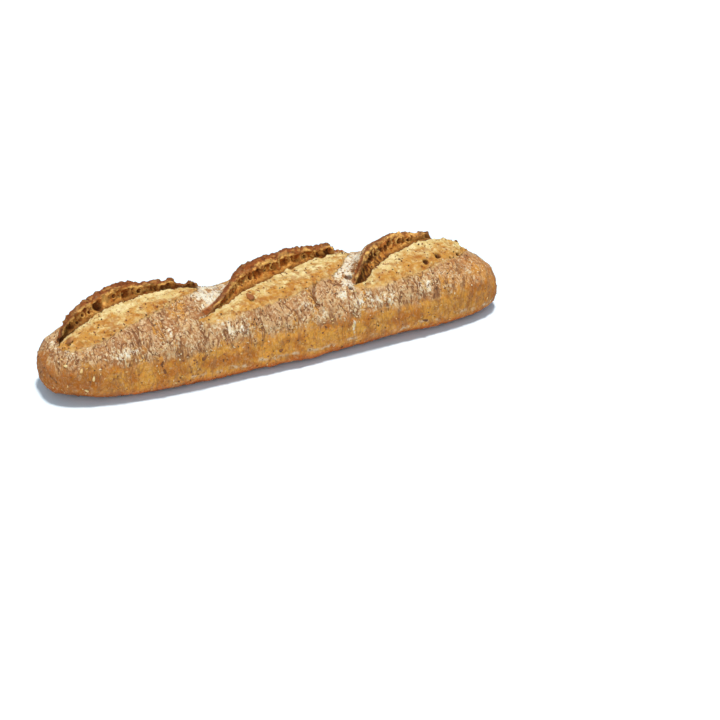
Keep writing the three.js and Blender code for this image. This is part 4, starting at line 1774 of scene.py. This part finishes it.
        # dark lines: bare crust in the cracks, partly painted shade beside the wrinkles and folds
        dark = s.maths("MAXIMUM", s.line(wrinkle, *self.wrinkle_line), s.line(fold, *self.fold_line))
        dark = s.times(dark, s.flecks(self.line_gaps))
        upper = s.layers(
            c.tan,
            (c.umber, s.fit(streaks, self.umber_streaks)),
            (c.beige, s.fit(streaks, self.beige_streaks)),
            (c.golden, s.flecks(self.golden_flecks)),
        )
        low = s.layers(
            c.low_gold,
            (c.low_brown, s.flecks(self.low_clouds)),
            (c.low_brown, s.flecks(self.low_flecks)),
            (c.low_deep, s.flecks(self.low_spots)),
            (c.low_edge, s.mark("edge")),
            (c.low_deep, s.times(s.mark("burnt"), self.burnt_share)),
        )
        return s.layers(
            upper,
            (low, s.mark("low")),
            # painted shade in the crust's sunk relief
            (c.brown, s.fit(s.mark("painted_relief_light"), self.sunk_painted_shade)),
            (c.dust, s.times(s.fit(dust, self.dust_share), high)),
            (c.flour, s.fit(dust, self.flour_share)),
            (c.flake_and_highlight, light),
            (c.brown, s.times(s.fit(chips, self.dark_chips), bare)),
            (c.crack, s.times(dark, bare)),
            # painted shade along one side of each fold
            (c.umber, s.times(s.fit(fold, self.fold_shade_side), s.fit(fold, self.fold_shade_end))),
            # pale flakes, partly painted highlights
            (c.flake_and_highlight, s.flecks(self.flake_and_highlight_specks)),
            (c.flake_and_highlight, s.times(s.mark("seam"), s.flecks(self.seam_specks))),
            (c.base, s.mark("under")),
        )

    def _bloom(self, s: Shade) -> Socket:
        """The bloom, cream and crumbly beside the ear and golden towards its near edge, with painted
        shade in its sunk relief and painted highlights on its crumbs.

        Args:
            s: the material.

        Returns:
            The socket that gives its colour.
        """
        c = self.colours
        across = s.add(s.mark("across"), s.flecks(self.bloom_lumps))
        across = s.add(across, s.flecks(self.bloom_clouds))
        streaks = s.times(s.flecks(self.bloom_streaks), s.fit(s.mark("across"), self.near_edge))
        return s.layers(
            c.bloom_gold,
            (c.cream, s.fit(across, self.cream_share)),
            (c.cream_light, s.fit(across, self.cream_light_share)),
            (c.bloom_deep, streaks),
            # pale crumbs, partly painted highlights on the bloom's lumps
            (c.cream_light, s.times(s.flecks(self.crumbs), s.fit(across, self.crumbs_share))),
            (c.bloom_deep, s.flecks(self.bloom_specks)),
            # painted shade in the bloom's sunk relief
            (c.bloom_deep, s.fit(s.mark("painted_relief_light"), self.bloom_sunk_shade)),
        )

    def _ear(self, s: Shade, colour: Socket) -> Socket:
        """The torn face, golden at its foot, with painted highlights on its brim, ribs and flecks,
        and the burnt rim above it, with painted highlights on its raised crags.

        Args:
            s: the material.
            colour: the colour that the ear is laid over.

        Returns:
            The socket that gives the colour with the ear.
        """
        c = self.colours
        rise = s.add(s.mark("rise"), s.flecks(self.rise_noise))
        specks = s.times(s.flecks(self.torn_specks), s.fit(rise, self.torn_specks_share))
        torn = s.layers(
            c.torn_low,
            (c.torn_mid, s.fit(rise, self.torn_mid_share)),
            (c.torn_high, s.fit(rise, self.torn_high_share)),
            (c.torn_dark, specks),
            # painted highlight flecks on the torn face
            (c.brim, s.flecks(self.painted_highlight_flecks)),
        )
        band = s.layers(
            c.band,
            (c.band_dark, s.flecks(self.band_dark_flecks)),
            # painted highlight flecks on the burnt rim
            (c.band_grey_highlight, s.flecks(self.band_grey_flecks)),
            # painted highlight on the rim's raised crags
            (c.brim, s.fit(s.mark("painted_relief_light"), self.band_raised_highlight)),
        )
        # painted highlight along the brim, on the rib walls and round the bubbles' rims
        brim = s.maths("MAXIMUM", s.mark("brim"), s.times(s.mark("rib_highlight"), self.rib_share))
        return s.layers(
            colour,
            (torn, s.mark("torn")),
            (band, s.mark("band")),
            (c.outline, s.times(s.mark("top"), self.outline_share)),
            (c.brim, s.times(brim, s.flecks(self.brim_gaps))),
        )


# ---------------------------------------------------------------- the loaf


@dataclass
class Loaf:
    """The loaf itself: form, skin, relief and finish."""

    form: LoafForm = field(default_factory=LoafForm)
    finish: CrustFinish = field(default_factory=CrustFinish)
    base_band: Pair = (2.0, 0.4)
    edge_band: Pair = (9.5, 3.5)
    points: Array = field(init=False)
    normals: Array = field(init=False)
    faces: Array = field(init=False)
    area: Array = field(init=False)
    marks: Marks = field(init=False)
    looks: Looks = field(init=False)

    def build(self) -> bpy.types.Object:
        """Makes the loaf's one piece.

        Returns:
            The piece.
        """
        skin = Skin(self.form)
        points, marks = skin.build()
        self.faces = skin.faces
        normals, _ = normals_of(points, self.faces)
        self.marks = marks
        self.points, self.looks = CrustRelief(self.form).apply(points, normals, marks)
        self.normals, self.area = normals_of(self.points, self.faces)
        obj = make_mesh("loaf", self.points, self.faces)
        for name, values in {**vars(marks), **vars(self.looks)}.items():
            add_mark(obj, name, values)
        add_mark(obj, "under", between(*self.base_band, self.points[:, 2]))
        add_mark(obj, "edge", between(*self.edge_band, self.points[:, 2]))
        obj.data.materials.append(self.finish.make())
        return obj


# ---------------------------------------------------------------- seeds and flakes


class Shape(Enum):
    """How a small piece is formed."""

    ROUND = "round"
    POINTED = "pointed"
    FLAT = "flat"


class Ground(Enum):
    """Where small pieces lie."""

    CRUST = "crust"
    ALL_OVER = "all over"
    FLOURED = "floured crown and seam"


@dataclass(frozen=True)
class Spot:
    """The place of one listed seed, and its turn from the loaf's axis in degrees."""

    x: float
    degrees: float
    turn: float = 0.0


@dataclass(frozen=True)
class SeedKind:
    """One kind of seed or flake: its name, form, size, colours, number and ground."""

    name: str
    shape: Shape
    size: Triple
    light: Colour
    dark: Colour
    count: int = 0
    ground: Ground = Ground.CRUST
    spots: tuple[Spot, ...] = ()
    sides: int = 8
    rings: int = 5
    sunk: float = 0.2
    vary: float = 0.25
    tip_width: float = 0.78
    taper: float = 0.4
    flat_power: tuple[int, float] = (3, 0.4)

    def body(self) -> tuple[Array, Array]:
        """The points and triangles of one seed, long along X and flat towards Z.

        Returns:
            The points, one row each, and the triangles.
        """
        turn = np.linspace(0, 2 * math.pi, self.sides, endpoint=False)
        rows = []
        for t in np.linspace(-1, 1, self.rings + 2)[1:-1]:
            width = math.sqrt(1 - t * t)
            if self.shape is Shape.POINTED:
                width *= self.tip_width - self.taper * t
            if self.shape is Shape.FLAT:
                width = (1 - abs(t) ** self.flat_power[0]) ** self.flat_power[1]
            ring = np.stack([np.full(self.sides, t), width * np.cos(turn), width * np.sin(turn)], -1)
            rows.append(ring)
        points = np.vstack(rows + [np.array([[-1.0, 0, 0], [1.0, 0, 0]])]) * np.array(self.size) / 2
        faces = []
        last = len(points) - 1
        for j in range(self.sides):
            k = (j + 1) % self.sides
            faces.append((last - 1, k, j))
            for r in range(self.rings - 1):
                a, b = r * self.sides, (r + 1) * self.sides
                faces += [(a + j, a + k, b + k), (a + j, b + k, b + j)]
            b = (self.rings - 1) * self.sides
            faces.append((last, b + j, b + k))
        return points, np.array(faces)


SEEDS = (
    SeedKind(
        "poppy_seeds", Shape.ROUND, (0.85, 0.75, 0.6), paint(92, 62, 36), paint(54, 34, 16), 170,
        Ground.ALL_OVER, sides=7, rings=4,
    ),
    SeedKind(
        "bran_specks", Shape.FLAT, (1.2, 0.7, 0.3), paint(156, 94, 50), paint(112, 64, 34), 700,
        Ground.ALL_OVER, sides=6, rings=3, vary=0.45,
    ),
    SeedKind(
        "sesame_bits", Shape.POINTED, (1.6, 0.8, 0.45), paint(230, 190, 122), paint(206, 152, 86), 200,
        sides=7, rings=4, vary=0.35,
    ),
    SeedKind(
        "flour_flakes", Shape.FLAT, (1.2, 0.6, 0.25), paint(232, 208, 168), paint(214, 178, 130), 350,
        Ground.FLOURED, sides=6, rings=3, vary=0.5,
    ),
    SeedKind(
        "linseeds", Shape.POINTED, (3.2, 2.1, 1.1), paint(136, 82, 38), paint(96, 54, 22),
        spots=(
            Spot(-5.9, 180, 20),
            Spot(-74.9, 163, 60),
            Spot(-73.7, 173, 100),
            Spot(-50.9, 166.5, 30),
            Spot(83, 191, 10),
            Spot(111.4, 56, 70),
            Spot(118.8, 58, 20),
        ),
        sides=12, rings=8, sunk=0.3,
    ),
    SeedKind(
        "sesame_seeds", Shape.POINTED, (3.0, 1.8, 0.9), paint(236, 206, 144), paint(214, 168, 100), 3,
        spots=(
            Spot(-116.8, 198, 15),
            Spot(-112.2, 170, 80),
            Spot(-117.9, 155, 40),
            Spot(38.5, 168, 85),
        ),
        sides=12, rings=8,
    ),
    SeedKind(
        "flat_brown_seed", Shape.ROUND, (7.0, 3.6, 1.5), paint(196, 134, 74), paint(160, 98, 48),
        spots=(Spot(-118.5, 106, -35),), sides=20, rings=12, sunk=0.1, vary=0.0,
    ),
    SeedKind(
        "red_brown_seed", Shape.POINTED, (7.6, 4.4, 2.2), paint(186, 114, 56), paint(142, 80, 36),
        spots=(Spot(-16, 111.6, 100),), sides=16, rings=10, sunk=0.3, vary=0.0,
    ),
)


@dataclass
class Scatter:
    """Lays seeds and flakes on the loaf, each kind as one piece."""

    loaf: Loaf
    seed: int = 5
    name_step: int = 31
    fallback: float = 0.3
    above: Pair = (2.0, 6.0)
    crown: Pair = (18.0, 24.0)
    crust_share: float = 0.7
    bloom_share: float = 1.4
    torn_share: float = 0.4
    tone_ramp: Ramp = Ramp(0.4, 0.62)
    tone_size: float = 0.5
    grain: Texture = Texture(0.4, 3)
    grain_depth: float = 0.15
    rough: float = 0.6

    def weight(self, ground: Ground) -> Array:
        """How thickly pieces lie at each point of the loaf.

        Args:
            ground: where they lie.

        Returns:
            The weight of each point.
        """
        marks, points = self.loaf.marks, self.loaf.points
        up = between(*self.above, points[:, 2])
        shut = 1 - np.clip(marks.bloom + marks.torn + marks.band, 0, 1)
        if ground is Ground.ALL_OVER:
            open_weight = self.bloom_share * marks.bloom + self.torn_share * marks.torn
            return up * (self.crust_share * shut + open_weight)
        if ground is Ground.FLOURED:
            return shut * (between(*self.crown, points[:, 2]) + self.loaf.looks.seam)
        return up * shut

    def lay(self, kind: SeedKind) -> bpy.types.Object:
        """Lays one kind.

        Args:
            kind: what is laid.

        Returns:
            The piece.
        """
        random = np.random.default_rng(self.seed + len(kind.name) * self.name_step + kind.count)
        chance = self.weight(kind.ground) * self.loaf.area
        chance /= chance.sum()
        where = random.choice(len(chance), kind.count, False, chance) if kind.count else []
        turns = list(random.uniform(0, math.pi, kind.count))
        relief = CrustRelief(self.loaf.form)
        for spot in kind.spots:
            gap = np.linalg.norm(self.loaf.points - relief.spot(spot.x, spot.degrees), axis=1)
            where = np.append(where, gap.argmin())
            turns.append(math.radians(spot.turn))
        where = np.asarray(where, int)
        body, faces = kind.body()
        place, normal = self.loaf.points[where], self.loaf.normals[where]
        scale = 1 + kind.vary * random.uniform(-1, 1, (len(where), 1, 3))
        parts = body[None] * scale
        lift = kind.size[2] * (0.5 - kind.sunk)
        points = place[:, None] + normal[:, None] * lift
        for i, axis in enumerate(self._axes(normal, turns)):
            points = points + parts[:, :, i : i + 1] * axis[:, None]
        points[:, :, 2] = np.maximum(points[:, :, 2], FLOOR)
        step = np.arange(len(where))[:, None, None] * len(body)
        obj = make_mesh(kind.name, points.reshape(-1, 3), (faces[None] + step).reshape(-1, 3))
        s = Shade(kind.name + "_skin")
        tone = s.fit(s.noise(Texture(max(kind.size) * self.tone_size, 4)), self.tone_ramp)
        grain = s.bump(s.noise(self.grain), self.grain_depth)
        obj.data.materials.append(s.close(s.layers(kind.light, (kind.dark, tone)), self.rough, grain))
        return obj

    def _axes(self, normal: Array, turns: list[float]) -> tuple[Array, Array, Array]:
        """The axes of each seed: along it, across it and up from the loaf.

        Args:
            normal: the loaf's normal below each seed.
            turns: the turn of each about it, from the loaf's axis.

        Returns:
            The three axes, one row for each seed.
        """
        along = np.cross(normal, np.array([0.0, 1.0, 0.02])) * -1
        steep = np.linalg.norm(along, axis=1, keepdims=True) < self.fallback
        along = np.where(steep, [[1.0, 0, 0]], along)
        along -= normal * (along * normal).sum(1, keepdims=True)
        along /= np.linalg.norm(along, axis=1, keepdims=True)
        aside = np.cross(normal, along)
        c, s = np.cos(turns)[:, None], np.sin(turns)[:, None]
        return along * c + aside * s, aside * c - along * s, normal

    def build(self) -> list[bpy.types.Object]:
        """Lays every kind of seed and flake."""
        return [self.lay(kind) for kind in SEEDS]


# ---------------------------------------------------------------- studio


@dataclass(frozen=True)
class Studio:
    """The white table, the lights and the camera."""

    camera_place: Triple = (-569.66, -1494.80, 949.64)
    azimuth: float = 22.663
    elevation: float = 31.0
    lens: float = 165.6
    sensor: float = 36.0
    farthest: float = 20.0
    table_size: float = 6.0
    table_tone: Colour = paint(235, 245, 252)
    table_clouds: Colour = paint(233, 243, 251)
    table_texture: Texture = Texture(60)
    table_rough: float = 0.9
    table_shine: float = 0.1
    surround: float = 0.4
    surround_colour: Triple = (0.68, 0.97, 1.18)
    key: float = 2.85
    key_degrees: float = 9.0
    key_from: Triple = (0.085, 0.0, 1.0)
    key_colour: Triple = (1.0, 0.985, 0.96)
    fill: float = 0.85
    fill_degrees: float = 50.0
    fill_from: Triple = (-0.75, -1.0, 0.5)
    fill_colour: Triple = (0.97, 0.99, 1.0)

    def build(self) -> None:
        """Sets up all of it."""
        self._table()
        self._lights()
        self._camera()

    def _table(self) -> None:
        """A white table top, which isn't part of the object."""
        bpy.ops.mesh.primitive_plane_add(size=self.table_size, location=(0, 0, 0))
        table = bpy.context.object
        table.name = "table_top"
        s = Shade("white_table")
        tone = s.layers(self.table_tone, (self.table_clouds, s.noise(self.table_texture)))
        table.data.materials.append(s.close(tone, self.table_rough, shine=self.table_shine))

    def _lights(self) -> None:
        """A high light from behind on the left, a soft low one from the front and an even surround."""
        world = bpy.data.worlds.new("studio")
        bpy.context.scene.world = world
        world.use_nodes = True
        background = world.node_tree.nodes["Background"]
        background.inputs["Color"].default_value = (*self.surround_colour, 1.0)
        background.inputs["Strength"].default_value = self.surround
        self._sun("key", self.key_from, self.key, self.key_degrees, self.key_colour)
        self._sun("fill", self.fill_from, self.fill, self.fill_degrees, self.fill_colour)

    @staticmethod
    def _sun(name: str, source: Triple, power: float, degrees: float, colour: Triple) -> None:
        """A distant light, seen over that many degrees, that shines from the source's direction.

        Args:
            name: the light's name.
            source: the direction it comes from.
            power: how bright it is.
            degrees: how wide it looks, which softens its shadows.
            colour: its colour.
        """
        light = bpy.data.lights.new(name, "SUN")
        light.energy = power
        light.angle = math.radians(degrees)
        light.color = colour
        obj = bpy.data.objects.new(name, light)
        obj.rotation_euler = Vector(source).to_track_quat("Z", "Y").to_euler()
        bpy.context.scene.collection.objects.link(obj)

    def _camera(self) -> None:
        """The camera that took the photo."""
        a, e = math.radians(self.azimuth), math.radians(self.elevation)
        right = Vector((math.cos(a), -math.sin(a), 0))
        forward = Vector((math.sin(a) * math.cos(e), math.cos(a) * math.cos(e), -math.sin(e)))
        up = right.cross(forward)
        turn = Matrix((right, up, -forward)).transposed().to_4x4()
        camera = bpy.data.cameras.new("camera")
        camera.lens = self.lens
        camera.sensor_width = self.sensor
        camera.clip_end = self.farthest
        obj = bpy.data.objects.new("camera", camera)
        obj.matrix_world = Matrix.Translation(Vector(self.camera_place) * MM) @ turn
        bpy.context.scene.collection.objects.link(obj)
        bpy.context.scene.camera = obj


def main() -> None:
    """Builds the loaf and the studio, and logs the triangles of each piece."""
    logging.basicConfig(level=logging.INFO, format="%(name)s %(message)s")
    loaf = Loaf()
    for piece in [loaf.build(), *Scatter(loaf).build()]:
        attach(piece, BODY)
        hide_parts(NODE)
        log.info("%s: %d triangles", piece.name, len(piece.data.polygons))
    Studio().build()
    bpy.context.scene.view_settings.view_transform = "Standard"


if __name__ == "__main__":
    main()
